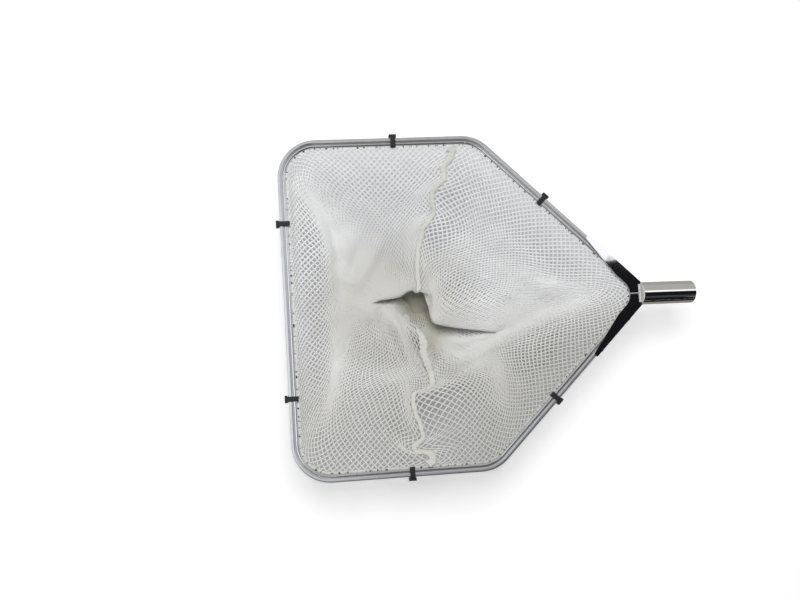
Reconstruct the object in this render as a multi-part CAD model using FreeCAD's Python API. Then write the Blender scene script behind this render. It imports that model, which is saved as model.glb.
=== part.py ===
import FreeCAD, Part
import math
import os

# Leaf skimmer net: a house-shaped frame with a deep net bag, a riveted yoke and a pole socket.
# Millimetres. While it is built, X runs from the front bar's outer edge to the handle, Y to
# the right and Z up from the middle plane of the frame, which is the mouth of the bag.

# Outline of the frame, along its outer edge
FRAME_WIDTH = 520.0
SIDE_LENGTH = 311.0
TAPER_LENGTH = 264.0
CORNER_RADIUS = 60.0

# Section of the frame: a hollow bar with a bead groove on its inner side
BAR_WIDTH = 7.6
BAR_HEIGHT = 10.0
BAR_EDGE_RADIUS = 3.0
BAR_WALL = 1.3
GROOVE_CENTRE = 9.8
GROOVE_OUTER_RADIUS = 3.4
GROOVE_RADIUS = 2.1
SLOT_HEIGHT = 1.6
FRAME_END = 46.0

# Hem of the bag: a cord in a folded tape, held by the groove
HEM_CORD_RADIUS = 1.5
HEM_TAPE_RADIUS = 1.95
HEM_TAPE_THICKNESS = 1.0
HEM_TAPE_EDGE = 17.0
HEM_CLEARANCE = 0.05

# Yoke: two folded channels over the ends of the frame
SHEET = 1.2
YOKE_PLAY = 0.1
YOKE_LENGTH = 135.0
YOKE_END_WIDTH = 5.5
YOKE_WIDTH = 17.0
YOKE_FULL_AT = 62.0
YOKE_INNER_RADIUS = 26.0
YOKE_APEX_GAP = 1.2
APEX_BEAD_HEIGHT = 0.9
APEX_CROWN_RADIUS = 3.2

# Rivets, measured along the frame from the point of the yoke
RIVET_PLACES = {"outer": 121.6, "inner": 55.0}
RIVET_RADIUS = 2.0
RIVET_HEAD_RADIUS = 3.6
RIVET_HEAD_HEIGHT = 1.8
RIVET_GRIP = 6.0
RIVET_HOLE_PLAY = 0.05

# Socket for the pole, tilted down towards the bag
SOCKET_TILT = 10.0
SOCKET_RADIUS = 17.7
SOCKET_BORE_RADIUS = 16.1
SOCKET_LENGTH = 90.0
END_PLATE = 2.5
YOKE_BACK = 557.0
SOCKET_BEAD = 3.0
SOCKET_BEAD_LENGTH = 28.0

# Cable ties: the strap's loop round the frame, and the head outside it
TIE_WIDTH = 7.6
TIE_THICKNESS = 1.3
TIE_LOOP_EDGE = 15.6
TIE_CLEARANCE = 0.1
TIE_CORNER = 3.0
TIE_HEAD = (11.4, 4.6, 8.2)
TIE_HEAD_EDGE_RADIUS = 0.8
TIE_SLIT = (8.4, 1.9)
SIDE_TIE_AT = 180.0
FRONT_TIE_AT = 132.0
TAPER_TIE_AT = 226.0

# Bag: the cloth's edge inside the hem, and the cloth itself
BAG_DEPTH = 115.0
BAG_TOP = 0.6
BAG_INSET = 17.2
BAG_CORNER_RADIUS = 43.0
BAG_APEX_RADIUS = 26.0
BAG_THICKNESS = 2.5
SEAM_WIDTH = 6.0
SEAM_RAISE = 1.2
SEAM_GAP = 0.35

# Places on the cloth's edge, from the right seam round by the front bar; "bs" is the left seam
EDGE_PLACES = {
    "tr": (269, 244), "t": (150, 244), "tl": (30, 230), "l1": (16, 115), "l": (16, 0),
    "l2": (16, -115), "bl": (30, -230), "b": (115, -244), "bs": (204, -244), "br": (306, -239),
    "lt": (426, -124), "r3": (483, -66), "ap": (540, 0), "r4": (483, 66), "ut": (426, 124),
    "r5": (362, 188), "ur": (306, 239),
}
# Where the slack cloth lies below each place, at each depth along it: it slopes in to a throat
CLOTH = {
    65: {
        "tr": (258, 184, -16), "t": (152, 180, -16), "tl": (62, 180, -20), "l1": (74, 110, -32),
        "l": (74, 5, -43), "l2": (73, -92, -40), "bl": (63, -173, -20), "b": (128, -177, -14),
        "bs": (214, -182, -14), "br": (301, -173, -12), "lt": (375, -83, -14),
        "r3": (430, -39, -14), "ap": (486, 1, -14), "r4": (437, 35, -16), "ut": (386, 85, -18),
        "r5": (336, 136, -17), "ur": (289, 179, -16),
    },
    120: {
        "tr": (247, 141, -34), "t": (155, 136, -38), "tl": (92, 139, -42), "l1": (109, 86, -52),
        "l": (97, 9, -57), "l2": (97, -62, -54), "bl": (96, -126, -40), "b": (158, -125, -34),
        "bs": (222, -127, -33), "br": (299, -116, -30), "lt": (347, -57, -46),
        "r3": (390, -23, -36), "ap": (439, 1, -26), "r4": (398, 30, -28), "ut": (357, 63, -31),
        "r5": (318, 101, -32), "ur": (278, 129, -33),
    },
    200: {
        "tr": (218, 81, -50), "t": (164, 71, -54), "tl": (129, 67, -58), "l1": (119, 40, -60),
        "l": (116, 9, -63), "l2": (122, -26, -66), "bl": (146, -64, -66), "b": (187, -80, -68),
        "bs": (219, -85, -70), "br": (266, -73, -76), "lt": (313, -54, -72),
        "r3": (339, -36, -62), "ap": (368, -11, -50), "r4": (344, 9, -48), "ut": (313, 30, -48),
        "r5": (266, 53, -48), "ur": (236, 70, -48),
    },
    260: {
        "tr": (211.5, 42, -72), "t": (180, 38, -74), "tl": (158, 32, -76), "l1": (145, 22, -77),
        "l": (140, 9, -79), "l2": (144, -8, -80), "bl": (160, -24, -80), "b": (188, -38, -80),
        "bs": (211.5, -46, -80), "br": (243, -50, -81), "lt": (276, -46, -80),
        "r3": (296, -34, -78), "ap": (302, -20, -74), "r4": (290, -2, -70), "ut": (268, 14, -68),
        "r5": (246, 28, -69), "ur": (228, 37, -70),
    },
    280: {
        "tr": (211.5, 38, -94), "t": (182, 34, -94), "tl": (161, 28, -94), "l1": (150, 19, -94),
        "l": (146, 8, -94), "l2": (150, -8, -94), "bl": (165, -22, -94), "b": (190, -34, -94),
        "bs": (211.5, -41, -94), "br": (242, -45, -94), "lt": (273, -41, -94),
        "r3": (290, -31, -94), "ap": (296, -19, -94), "r4": (285, -3, -94), "ut": (264, 12, -94),
        "r5": (243, 25, -94), "ur": (226, 33, -94),
    },
}
# Depths of its rows of faces; a face's width along the edge, less in bends by their share
CLOTH_ROWS = (0, 18, 50, 95, 145, 200, 232, 262, 280)
CLOTH_STEP = 56.0
CORNER_SHARE = 75.0
# Height below which the seam runs on over the sac, at its own place
CLOTH_FOOT = -78.0

# The bag's end: a flat sac that lies under the throat, its outline and its levels inwards
SAC_X = (128.0, 452.0)
SAC_Y = (-113.0, 60.0)
SAC_CORNER_RADIUS = 42.0
SAC_LEVELS = [(10.0, -BAG_DEPTH), (2.0, -109.0), (0.0, -101.0), (3.0, -92.0), (12.0, -86.0)]
SAC_SEAM_X = 211.5

HALF_WIDTH = FRAME_WIDTH / 2
APEX_RADIUS = YOKE_INNER_RADIUS + YOKE_WIDTH
APEX_X = SIDE_LENGTH + TAPER_LENGTH
FLANGE_INSIDE = BAR_HEIGHT / 2 + YOKE_PLAY
TAPER_ANGLE = math.atan2(HALF_WIDTH, TAPER_LENGTH)
UP = FreeCAD.Vector(0, 0, 1)

# Edge of the blocks that cut pieces off, larger than the whole net
ROOM = 1200.0


def vec(x, y, z=0.0):
    return FreeCAD.Vector(x, y, z)


def house_corners(inset):
    """The five corners of the frame's outline moved inwards, from the apex round by the right."""
    x_front = inset
    y_side = HALF_WIDTH - inset
    x_apex = APEX_X - inset / math.sin(TAPER_ANGLE)
    x_shoulder = x_apex - y_side / math.tan(TAPER_ANGLE)
    return [
        vec(x_apex, 0),
        vec(x_shoulder, y_side),
        vec(x_front, y_side),
        vec(x_front, -y_side),
        vec(x_shoulder, -y_side),
    ]


def rounded_outline(corners, radii):
    """The runs and the arcs of a closed outline: (start, end) and (start, centre, end, turn)."""
    count = len(corners)
    arcs = []
    for i in range(count):
        back = (corners[i - 1] - corners[i]).normalize()
        ahead = (corners[(i + 1) % count] - corners[i]).normalize()
        half = back.getAngle(ahead) / 2
        bisector = (back + ahead).normalize()
        tangent = radii[i] / math.tan(half)
        centre = corners[i] + bisector * (radii[i] / math.sin(half))
        turn = math.degrees(math.pi - 2 * half)
        arcs.append((corners[i] + back * tangent, centre, corners[i] + ahead * tangent, turn))
    runs = [(arcs[i][2], arcs[(i + 1) % count][0]) for i in range(count)]
    return runs, arcs


def outline_wire(inset, z, corner_radius, apex_radius):
    """A closed wire round the house shape at one height."""
    radii = [apex_radius] + [corner_radius] * 4
    runs, arcs = rounded_outline(house_corners(inset), radii)
    lift = UP * z
    edges = []
    for (start, centre, end, turn), (run_start, run_end) in zip(arcs, runs):
        middle = centre + ((start + end) * 0.5 - centre).normalize() * (start - centre).Length
        edges.append(Part.Arc(start + lift, middle + lift, end + lift).toShape())
        edges.append(Part.LineSegment(run_start + lift, run_end + lift).toShape())
    return Part.Wire(edges)


def fused(shapes):
    """One shape out of several, with the seams between them cleaned away."""
    whole = shapes[0].multiFuse(shapes[1:]) if len(shapes) > 1 else shapes[0]
    return whole.removeSplitter()


def section_at(profile, base, inwards):
    """A profile drawn in (inset, height) stood on its base point, square to the outline."""
    turn = math.degrees(math.atan2(inwards.y, inwards.x))
    placed = profile.copy()
    placed.rotate(vec(0, 0), UP, turn)
    placed.translate(base)
    return placed


def swept(profile, open_at_apex):
    """A profile swept round the frame's outline, as straight and turned stretches."""
    radii = [APEX_RADIUS] + [CORNER_RADIUS] * 4
    runs, arcs = rounded_outline(house_corners(0), radii)
    if open_at_apex:
        apex = house_corners(0)[0]
        runs[0] = (apex + (runs[0][1] - apex).normalize() * FRAME_END, runs[0][1])
        runs[-1] = (runs[-1][0], apex + (runs[-1][0] - apex).normalize() * FRAME_END)
    pieces = []
    for start, end in runs:
        inwards = UP.cross(end - start).normalize()
        pieces.append(section_at(profile, start, inwards).extrude(end - start))
    for i, (start, centre, end, turn) in enumerate(arcs):
        if open_at_apex and i == 0:
            continue
        inwards = (centre - start).normalize()
        pieces.append(section_at(profile, start, inwards).revolve(centre, UP, turn))
    return fused(pieces)


def profile_box(s0, s1, height, radius=0.0):
    """An upright rectangle in the profile's plane, with rounded corners if a radius is given."""
    box = Part.makeBox(s1 - s0, 1.0, height, vec(s0, 0, -height / 2))
    if radius:
        upright = [e for e in box.Edges if abs(e.Length - 1.0) < 1e-6]
        box = box.makeFillet(radius, upright)
    return box


def profile_disc(s, radius):
    return Part.makeCylinder(radius, 1.0, vec(s, 0, 0), vec(0, 1, 0))


def face_of(block):
    """The face of a profile block that lies in the profile's plane."""
    merged = block.removeSplitter()
    flat = [f for f in merged.Faces if abs(f.CenterOfMass.y) < 1e-6 and f.BoundBox.YLength < 1e-6]
    return flat[0]


def frame_tube():
    bar = profile_box(0, BAR_WIDTH, BAR_HEIGHT, BAR_EDGE_RADIUS)
    lobe = profile_disc(GROOVE_CENTRE, GROOVE_OUTER_RADIUS)
    hollow = profile_box(
        BAR_WALL, BAR_WIDTH - BAR_WALL, BAR_HEIGHT - 2 * BAR_WALL, BAR_EDGE_RADIUS - BAR_WALL
    )
    groove = profile_disc(GROOVE_CENTRE, GROOVE_RADIUS)
    slot = profile_box(GROOVE_CENTRE, GROOVE_CENTRE + 2 * GROOVE_OUTER_RADIUS, SLOT_HEIGHT)
    block = bar.fuse(lobe).cut(hollow).cut(groove).cut(slot)
    tube = swept(face_of(block), True)
    for _, base, inwards in rivet_places():
        tube = tube.cut(rivet_hole(base, inwards))
    return tube


def hem_cord():
    return swept(face_of(profile_disc(GROOVE_CENTRE, HEM_CORD_RADIUS)), False)


def hem_tape():
    ring = profile_disc(GROOVE_CENTRE, HEM_TAPE_RADIUS)
    strip = profile_box(GROOVE_CENTRE, HEM_TAPE_EDGE, HEM_TAPE_THICKNESS)
    core = profile_disc(GROOVE_CENTRE, HEM_CORD_RADIUS + HEM_CLEARANCE)
    tape = swept(face_of(ring.fuse(strip).cut(core)), False)
    near = TIE_LOOP_EDGE - TIE_THICKNESS / 2 - TIE_SLIT[1] / 2
    deep = 2 * HEM_TAPE_RADIUS
    slit = Part.makeBox(TIE_SLIT[0], TIE_SLIT[1], deep, vec(-TIE_SLIT[0] / 2, near, -deep / 2))
    for base, inwards in tie_places().values():
        tape = tape.cut(stood_on_frame(slit, base, inwards))
    return tape


def stood_on_frame(shape, base, inwards):
    """A shape drawn with X along the frame and Y inwards, set down at a place on the frame."""
    placed = shape.copy()
    placed.rotate(vec(0, 0), UP, math.degrees(math.atan2(inwards.y, inwards.x)) - 90)
    placed.translate(base)
    return placed


def taper_place(side, distance):
    """A place on a tapering bar's outer edge, by its distance from the apex, and the way in."""
    away = vec(-TAPER_LENGTH, side * HALF_WIDTH).normalize()
    inwards = vec(-HALF_WIDTH, -side * TAPER_LENGTH).normalize()
    return vec(APEX_X, 0) + away * distance, inwards


def rivet_places():
    places = []
    for hand, side in (("right", 1), ("left", -1)):
        for name, distance in RIVET_PLACES.items():
            places.append((f"rivet_{hand}_{name}", *taper_place(side, distance)))
    return places


def rivet_hole(base, inwards):
    """The hole through the yoke's outer wall and the outer wall of the bar."""
    outside = base - inwards * (YOKE_PLAY + 2 * SHEET)
    depth = YOKE_PLAY + 2 * SHEET + 1.5 * BAR_WALL
    return Part.makeCylinder(RIVET_RADIUS + RIVET_HOLE_PLAY, depth, outside, inwards)


def rivet(base, inwards):
    """A blind rivet: a domed head on the yoke's outer wall and a shank into the hollow bar."""
    seat = base - inwards * (YOKE_PLAY + SHEET)
    shank = Part.makeCylinder(RIVET_RADIUS, RIVET_GRIP, seat, inwards)
    dome_radius = (RIVET_HEAD_RADIUS**2 + RIVET_HEAD_HEIGHT**2) / (2 * RIVET_HEAD_HEIGHT)
    dome = Part.makeSphere(dome_radius, seat - inwards * (RIVET_HEAD_HEIGHT - dome_radius))
    cap = Part.makeCylinder(2 * RIVET_HEAD_RADIUS, 2 * RIVET_HEAD_HEIGHT, seat, inwards * -1)
    return dome.common(cap).fuse(shank).removeSplitter()


def yoke_flange(side):
    """The plan face of one half of the yoke, up to the middle plane."""
    edge = -(YOKE_PLAY + SHEET)

    def at(distance, inset):
        base, inwards = taper_place(side, distance)
        return base + inwards * inset

    _, inwards = taper_place(side, 0)
    centre = yoke_inner_centre()
    arc_start = centre - inwards * YOKE_INNER_RADIUS
    arc_end = centre + vec(YOKE_INNER_RADIUS, 0)
    halfway = ((arc_start + arc_end) * 0.5 - centre).normalize()
    end_outer = at(YOKE_LENGTH, edge)
    end_inner = at(YOKE_LENGTH, YOKE_END_WIDTH)
    full = at(YOKE_FULL_AT, YOKE_WIDTH)
    point = vec(APEX_X - edge / math.sin(TAPER_ANGLE), 0)
    edges = [
        Part.LineSegment(point, end_outer).toShape(),
        Part.LineSegment(end_outer, end_inner).toShape(),
        Part.LineSegment(end_inner, full).toShape(),
        Part.LineSegment(full, arc_start).toShape(),
        Part.Arc(arc_start, centre + halfway * YOKE_INNER_RADIUS, arc_end).toShape(),
        Part.LineSegment(arc_end, point).toShape(),
    ]
    return Part.Face(Part.Wire(edges))


def yoke_inner_centre():
    """The centre of the yoke's rounded inner corner."""
    return vec(APEX_X - (YOKE_WIDTH + YOKE_INNER_RADIUS) / math.sin(TAPER_ANGLE), 0)


def behind_yoke():
    """The space behind the yoke's cut-off point, tilted with the socket."""
    block = Part.makeBox(ROOM, ROOM, ROOM, vec(YOKE_BACK, -ROOM / 2, -ROOM / 2))
    block.rotate(vec(YOKE_BACK, 0), vec(0, 1, 0), SOCKET_TILT)
    return block


def yoke_arm(side):
    """A folded channel: two flanges above and below the frame's end, and the wall outside it."""
    inner_height = 2 * FLANGE_INSIDE
    height = inner_height + 2 * SHEET
    blank = yoke_flange(side)
    blank.translate(vec(0, 0, -height / 2))
    body = blank.extrude(UP * height)
    base, inwards = taper_place(side, 0)
    hollow = Part.makeBox(ROOM, ROOM, inner_height, vec(-ROOM / 2, -YOKE_PLAY, -inner_height / 2))
    body = body.cut(stood_on_frame(hollow, base, inwards))
    gap_start = vec(yoke_inner_centre().x, -YOKE_APEX_GAP, -height)
    gap = Part.makeBox(ROOM, 2 * YOKE_APEX_GAP, 2 * height, gap_start)
    body = body.cut(gap).cut(behind_yoke())
    for _, place, rivet_in in rivet_places():
        if rivet_in.y * side < 0:
            body = body.cut(rivet_hole(place, rivet_in))
    return body


def yoke_apex_weld():
    """The seam weld down the middle of the yoke: a filled gap with a low crown, above and below."""
    start = yoke_inner_centre().x + YOKE_INNER_RADIUS
    width = 2 * YOKE_APEX_GAP
    height = SHEET + APEX_BEAD_HEIGHT
    socket_weld = socket_weld_beads()
    beads = []
    for up in (1, -1):
        low = FLANGE_INSIDE
        slab = Part.makeBox(ROOM / 2, width, height, vec(start, -width / 2, low))
        top = vec(start - APEX_CROWN_RADIUS, 0, low + height - APEX_CROWN_RADIUS)
        bead = slab.common(Part.makeCylinder(APEX_CROWN_RADIUS, ROOM, top, vec(1, 0, 0)))
        if up < 0:
            bead = bead.mirror(vec(0, 0), UP)
        beads.append(bead.cut(behind_yoke()).cut(socket_weld))
    return Part.makeCompound(beads)


def tilted(shape):
    """A piece of the socket, drawn along X from the yoke's back, turned down by its tilt."""
    placed = shape.copy()
    placed.translate(vec(YOKE_BACK, 0))
    placed.rotate(vec(YOKE_BACK, 0), vec(0, 1, 0), SOCKET_TILT)
    return placed


def handle_socket():
    axis = vec(1, 0, 0)
    tube = Part.makeCylinder(SOCKET_RADIUS, SOCKET_LENGTH, vec(END_PLATE, 0), axis)
    bore = Part.makeCylinder(SOCKET_BORE_RADIUS, SOCKET_LENGTH, vec(END_PLATE, 0), axis)
    return tilted(tube.cut(bore))


def socket_end_plate():
    return tilted(Part.makeCylinder(SOCKET_RADIUS, END_PLATE, vec(0, 0), vec(1, 0, 0)))


def socket_weld_beads():
    """A fillet weld above and one below the yoke, on the disc that closes the socket."""
    flange = FLANGE_INSIDE + SHEET
    half = SOCKET_BEAD_LENGTH / 2
    beads = []
    for up in (1, -1):
        start = vec(YOKE_BACK, -half, up * flange)
        rod = Part.makeCylinder(SOCKET_BEAD, 2 * half, start, vec(0, 1, 0))
        room = Part.makeBox(ROOM, ROOM, ROOM, vec(YOKE_BACK - ROOM / 2, -ROOM / 2, flange))
        if up < 0:
            room = room.mirror(vec(0, 0), UP)
        beads.append(rod.common(room).cut(behind_yoke()))
    return Part.makeCompound(beads)


def tie_places():
    """Each cable tie's place on the frame's outer edge, and the way in."""
    places = {}
    for hand, side in (("right", 1), ("left", -1)):
        places[f"tie_side_{hand}"] = (vec(SIDE_TIE_AT, side * HALF_WIDTH), vec(0, -side))
        places[f"tie_front_{hand}"] = (vec(0, side * FRONT_TIE_AT), vec(1, 0))
        places[f"tie_taper_{hand}"] = taper_place(side, TAPER_TIE_AT)
    return places


def cable_tie(base, inwards):
    """A strap looped round the frame and through the mesh, with its head on the outer edge."""
    gap = TIE_CLEARANCE
    outer_height = BAR_HEIGHT + 2 * (gap + TIE_THICKNESS)
    edge = gap + TIE_THICKNESS
    loop = Part.makeBox(
        TIE_WIDTH, TIE_LOOP_EDGE + edge, outer_height, vec(-TIE_WIDTH / 2, -edge, -outer_height / 2)
    )
    loop = loop.makeFillet(TIE_CORNER, [e for e in loop.Edges if abs(e.Length - TIE_WIDTH) < 1e-6])
    space = Part.makeBox(
        TIE_WIDTH,
        TIE_LOOP_EDGE + edge - 2 * TIE_THICKNESS,
        outer_height - 2 * TIE_THICKNESS,
        vec(-TIE_WIDTH / 2, -gap, -BAR_HEIGHT / 2 - gap),
    )
    space = space.makeFillet(
        TIE_CORNER - TIE_THICKNESS, [e for e in space.Edges if abs(e.Length - TIE_WIDTH) < 1e-6]
    )
    head = Part.makeBox(
        TIE_HEAD[0],
        TIE_HEAD[1],
        TIE_HEAD[2],
        vec(-TIE_HEAD[0] / 2, -edge - TIE_HEAD[1] + TIE_THICKNESS / 2, -TIE_HEAD[2] / 2),
    )
    head = head.makeFillet(TIE_HEAD_EDGE_RADIUS, head.Edges)
    return stood_on_frame(loop.cut(space).fuse(head).removeSplitter(), base, inwards)


def slope_at(where, points, k):
    """The direction of a smooth line at one of its points, from the slopes on both sides."""
    if k in (0, len(where) - 1):
        i = min(k, len(where) - 2)
        return (points[i + 1] - points[i]) * (1 / (where[i + 1] - where[i]))
    before, after = where[k] - where[k - 1], where[k + 1] - where[k]
    coming = (points[k] - points[k - 1]) * (after / before / (before + after))
    return coming + (points[k + 1] - points[k]) * (before / after / (before + after))


def smooth_at(where, points, place):
    """A place on the smooth line through points that stand at the given distances."""
    k = 0
    while k < len(where) - 2 and where[k + 1] <= place:
        k += 1
    gap = where[k + 1] - where[k]
    t = (place - where[k]) / gap
    return (
        points[k] * (2 * t**3 - 3 * t**2 + 1)
        + slope_at(where, points, k) * ((t**3 - 2 * t**2 + t) * gap)
        + points[k + 1] * (3 * t**2 - 2 * t**3)
        + slope_at(where, points, k + 1) * ((t**3 - t**2) * gap)
    )


class Cloth:
    """The slack cloth from its edge down to the sac, by the way along its edge and by depth."""

    def __init__(self):
        wire = outline_wire(BAG_INSET, 0.0, BAG_CORNER_RADIUS, BAG_APEX_RADIUS)
        self.length = wire.Length
        self.edge = wire.discretize(Number=1701)
        self.start = self.nearest(EDGE_PLACES["tr"])
        ways = [(self.nearest(p) - self.start) % self.length for p in EDGE_PLACES.values()]
        self.right_seam = 0.0
        self.left_seam = ways[list(EDGE_PLACES).index("bs")]
        self.ways = [w + turn * self.length for turn in (-1, 0, 1) for w in ways]
        self.columns = {}
        self.measure = [0.0]
        steps = [b - a for a, b in zip(self.edge, self.edge[1:])]
        for before, step in zip(steps[-1:] + steps, steps):
            bend = before.getAngle(step)
            self.measure.append(self.measure[-1] + step.Length + CORNER_SHARE * bend)

    def nearest(self, place):
        """How far along the edge its nearest point to a place is."""
        target = vec(*place)
        k = min(range(len(self.edge)), key=lambda i: (self.edge[i] - target).Length)
        return self.length * k / (len(self.edge) - 1)

    def edge_at(self, way):
        share = (way + self.start) % self.length / self.length * (len(self.edge) - 1)
        k = min(int(share), len(self.edge) - 2)
        return self.edge[k] + (self.edge[k + 1] - self.edge[k]) * (share - k)

    def column(self, way):
        """The depths and the points of the cloth below one place on its edge."""
        way = way % self.length
        if way in self.columns:
            return self.columns[way]
        edge = self.edge_at(way)
        depths, points = [0.0], [edge + UP * BAG_TOP]
        for depth, places in CLOTH.items():
            ring = [vec(*places[name]) for name in EDGE_PLACES] * 3
            depths.append(float(depth))
            points.append(smooth_at(self.ways, ring, way))
        step = points[1] - edge
        lean = vec(step.x, step.y).normalize().x
        steep = min(max((lean - 0.2) / 0.8, 0.0), 1.0)
        near = edge + step * (0.28 - 0.06 * steep)
        near.z = -5.0 - 9.0 * steep
        depths.insert(1, 18.0)
        points.insert(1, near)
        self.columns[way] = (depths, points)
        return depths, points

    def at(self, way, depth):
        return smooth_at(*self.column(way), depth)

    def both_faces(self, way, depth, raised):
        """A place on the cloth's inner and on its outer face; its edge is cut off upright."""
        across = self.at(way + 3, depth) - self.at(way - 3, depth)
        low, high = max(depth - 3, CLOTH_ROWS[0]), min(depth + 3, CLOTH_ROWS[-1])
        inside = across.cross(self.at(way, high) - self.at(way, low)).normalize()
        share = min(depth / CLOTH_ROWS[1], 1.0)
        out = (inside * share + UP * (1 - share)).normalize() * -1
        here = self.at(way, depth)
        return here - out * raised, here + out * BAG_THICKNESS

    def beside(self, way, depth, distance):
        """The way of the line that runs at a distance beside a seam, at one depth."""
        return way + distance * 6 / (self.at(way + 3, depth) - self.at(way - 3, depth)).Length

    def measured(self, way):
        """A way on the measure that also counts the edge's bends, so corners get more steps."""
        share = (way + self.start) / self.length
        turns = math.floor(share)
        place = (share - turns) * (len(self.edge) - 1)
        k = min(int(place), len(self.edge) - 2)
        part = self.measure[k] + (self.measure[k + 1] - self.measure[k]) * (place - k)
        return turns * self.measure[-1] + part

    def steps(self, first, last):
        """Ways from first to last, closer together where the edge bends."""
        start, whole = self.measured(first), self.measured(last) - self.measured(first)
        count = max(2, round(whole / CLOTH_STEP))
        ways, fine = [first], 2000
        marks = [first + (last - first) * i / fine for i in range(fine + 1)]
        for mark in marks[1:-1]:
            if self.measured(mark) - start >= whole * len(ways) / count and len(ways) < count:
                ways.append(mark)
        return ways + [last]

    def piece(self, first, last, raised):
        """A thick piece of the cloth between two lines, each (seam's way, distance beside it)."""
        ways = self.steps(first[0], last[0]) if last[0] > first[0] else [first[0]] * 3
        inner, outer = [], []
        for depth in CLOTH_ROWS:
            row = list(ways)
            row[0] = self.beside(first[0], depth, first[1])
            row[-1] = self.beside(last[0], depth, last[1])
            pairs = [self.both_faces(way, depth, raised) for way in row]
            inner.append([pair[0] for pair in pairs])
            outer.append([pair[1] for pair in pairs])
        return skin(inner, outer)


def skin(inner, outer):
    """A solid between two grids of points, with flat three-cornered faces."""
    faces = []

    def tile(a, b, c, d):
        for corners in ((a, b, c, a), (a, c, d, a)):
            faces.append(Part.Face(Part.makePolygon(corners)))

    for i in range(len(inner) - 1):
        for j in range(len(inner[0]) - 1):
            tile(inner[i][j], inner[i][j + 1], inner[i + 1][j + 1], inner[i + 1][j])
            tile(outer[i][j], outer[i + 1][j], outer[i + 1][j + 1], outer[i][j + 1])
        tile(inner[i][0], inner[i + 1][0], outer[i + 1][0], outer[i][0])
        tile(inner[i][-1], outer[i][-1], outer[i + 1][-1], inner[i + 1][-1])
    for j in range(len(inner[0]) - 1):
        tile(inner[0][j], outer[0][j], outer[0][j + 1], inner[0][j + 1])
        tile(inner[-1][j], inner[-1][j + 1], outer[-1][j + 1], outer[-1][j])
    shell = Part.makeShell(faces)
    shell.sewShape()
    solid = Part.makeSolid(shell)
    if solid.Volume < 0:
        solid.reverse()
    return solid


def sac_solid(grow):
    """The filled sac, with its faces moved inwards by grow."""
    (x0, x1), (y0, y1) = SAC_X, SAC_Y
    low, high = SAC_LEVELS[0][1] + grow, SAC_LEVELS[-1][1] - grow
    wires = []
    for level, z in SAC_LEVELS:
        inset = level + grow
        lift = UP * min(max(z, low), high)
        corners = [vec(x1 - inset, y0 + inset), vec(x1 - inset, y1 - inset)]
        corners += [vec(x0 + inset, y1 - inset), vec(x0 + inset, y0 + inset)]
        runs, arcs = rounded_outline(corners, [SAC_CORNER_RADIUS - inset] * 4)
        edges = []
        for (start, centre, end, turn), (run_start, run_end) in zip(arcs, runs):
            bulge = ((start + end) * 0.5 - centre).normalize() * (start - centre).Length
            edges.append(Part.Arc(start + lift, centre + bulge + lift, end + lift).toShape())
            edges.append(Part.LineSegment(run_start + lift, run_end + lift).toShape())
        wires.append(Part.Wire(edges))
    return Part.makeLoft(wires, True, True)


def throat(cloth):
    """The way from the sloping cloth into the sac: an upright block that ends in the cloth."""
    top = SAC_LEVELS[-1][1]
    level = top - BAG_THICKNESS / 2
    ways = cloth.steps(cloth.right_seam, cloth.left_seam)
    ways += cloth.steps(cloth.left_seam, cloth.right_seam + cloth.length)[1:-1]
    points = []
    for way in ways:
        inner, outer = cloth.both_faces(way, CLOTH_ROWS[-2], 0.0)
        high = (inner + outer) * 0.5
        inner, outer = cloth.both_faces(way, CLOTH_ROWS[-1], 0.0)
        low = (inner + outer) * 0.5
        place = low + (high - low) * ((level - low.z) / (high.z - low.z))
        points.append(vec(place.x, place.y, top - 2 * BAG_THICKNESS))
    return Part.Face(Part.makePolygon(points + points[:1])).extrude(UP * (4 * BAG_THICKNESS))


def sac_shell(cloth, raised):
    shell = sac_solid(0.0).cut(sac_solid(BAG_THICKNESS + raised))
    return shell.cut(throat(cloth))


def below_foot(x0, x1):
    """A block over the sac and the cloth's foot, between two places along them."""
    return Part.makeBox(x1 - x0, 2 * ROOM, ROOM, vec(x0, -ROOM, CLOTH_FOOT - ROOM))


def inside_hem():
    """The block within the bag's edge, up to its top."""
    wire = outline_wire(BAG_INSET, -2 * BAG_DEPTH, BAG_CORNER_RADIUS, BAG_APEX_RADIUS)
    return Part.Face(wire).extrude(UP * (2 * BAG_DEPTH + BAG_TOP))


def net_panel(front):
    cloth = Cloth()
    edge = SEAM_WIDTH / 2 + SEAM_GAP
    right, left = cloth.right_seam, cloth.left_seam
    if front:
        slope = cloth.piece((right, edge), (left, -edge), 0.0)
        other_side = below_foot(SAC_SEAM_X - edge, SAC_SEAM_X + ROOM)
    else:
        slope = cloth.piece((left, edge), (right + cloth.length, -edge), 0.0)
        other_side = below_foot(SAC_SEAM_X - ROOM, SAC_SEAM_X + edge)
    panel = slope.common(inside_hem()).fuse(sac_shell(cloth, 0.0).cut(other_side))
    return panel.cut(other_side)


def seam_tape():
    cloth = Cloth()
    half = SEAM_WIDTH / 2
    sides = below_foot(SAC_SEAM_X - ROOM, SAC_SEAM_X - half)
    sides = sides.fuse(below_foot(SAC_SEAM_X + half, SAC_SEAM_X + ROOM))
    band = sac_shell(cloth, SEAM_RAISE).cut(sides)
    for seam in (cloth.right_seam, cloth.left_seam):
        strip = cloth.piece((seam, -half), (seam, half), SEAM_RAISE)
        band = band.fuse(strip.common(inside_hem()).cut(sides))
    return band


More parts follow.
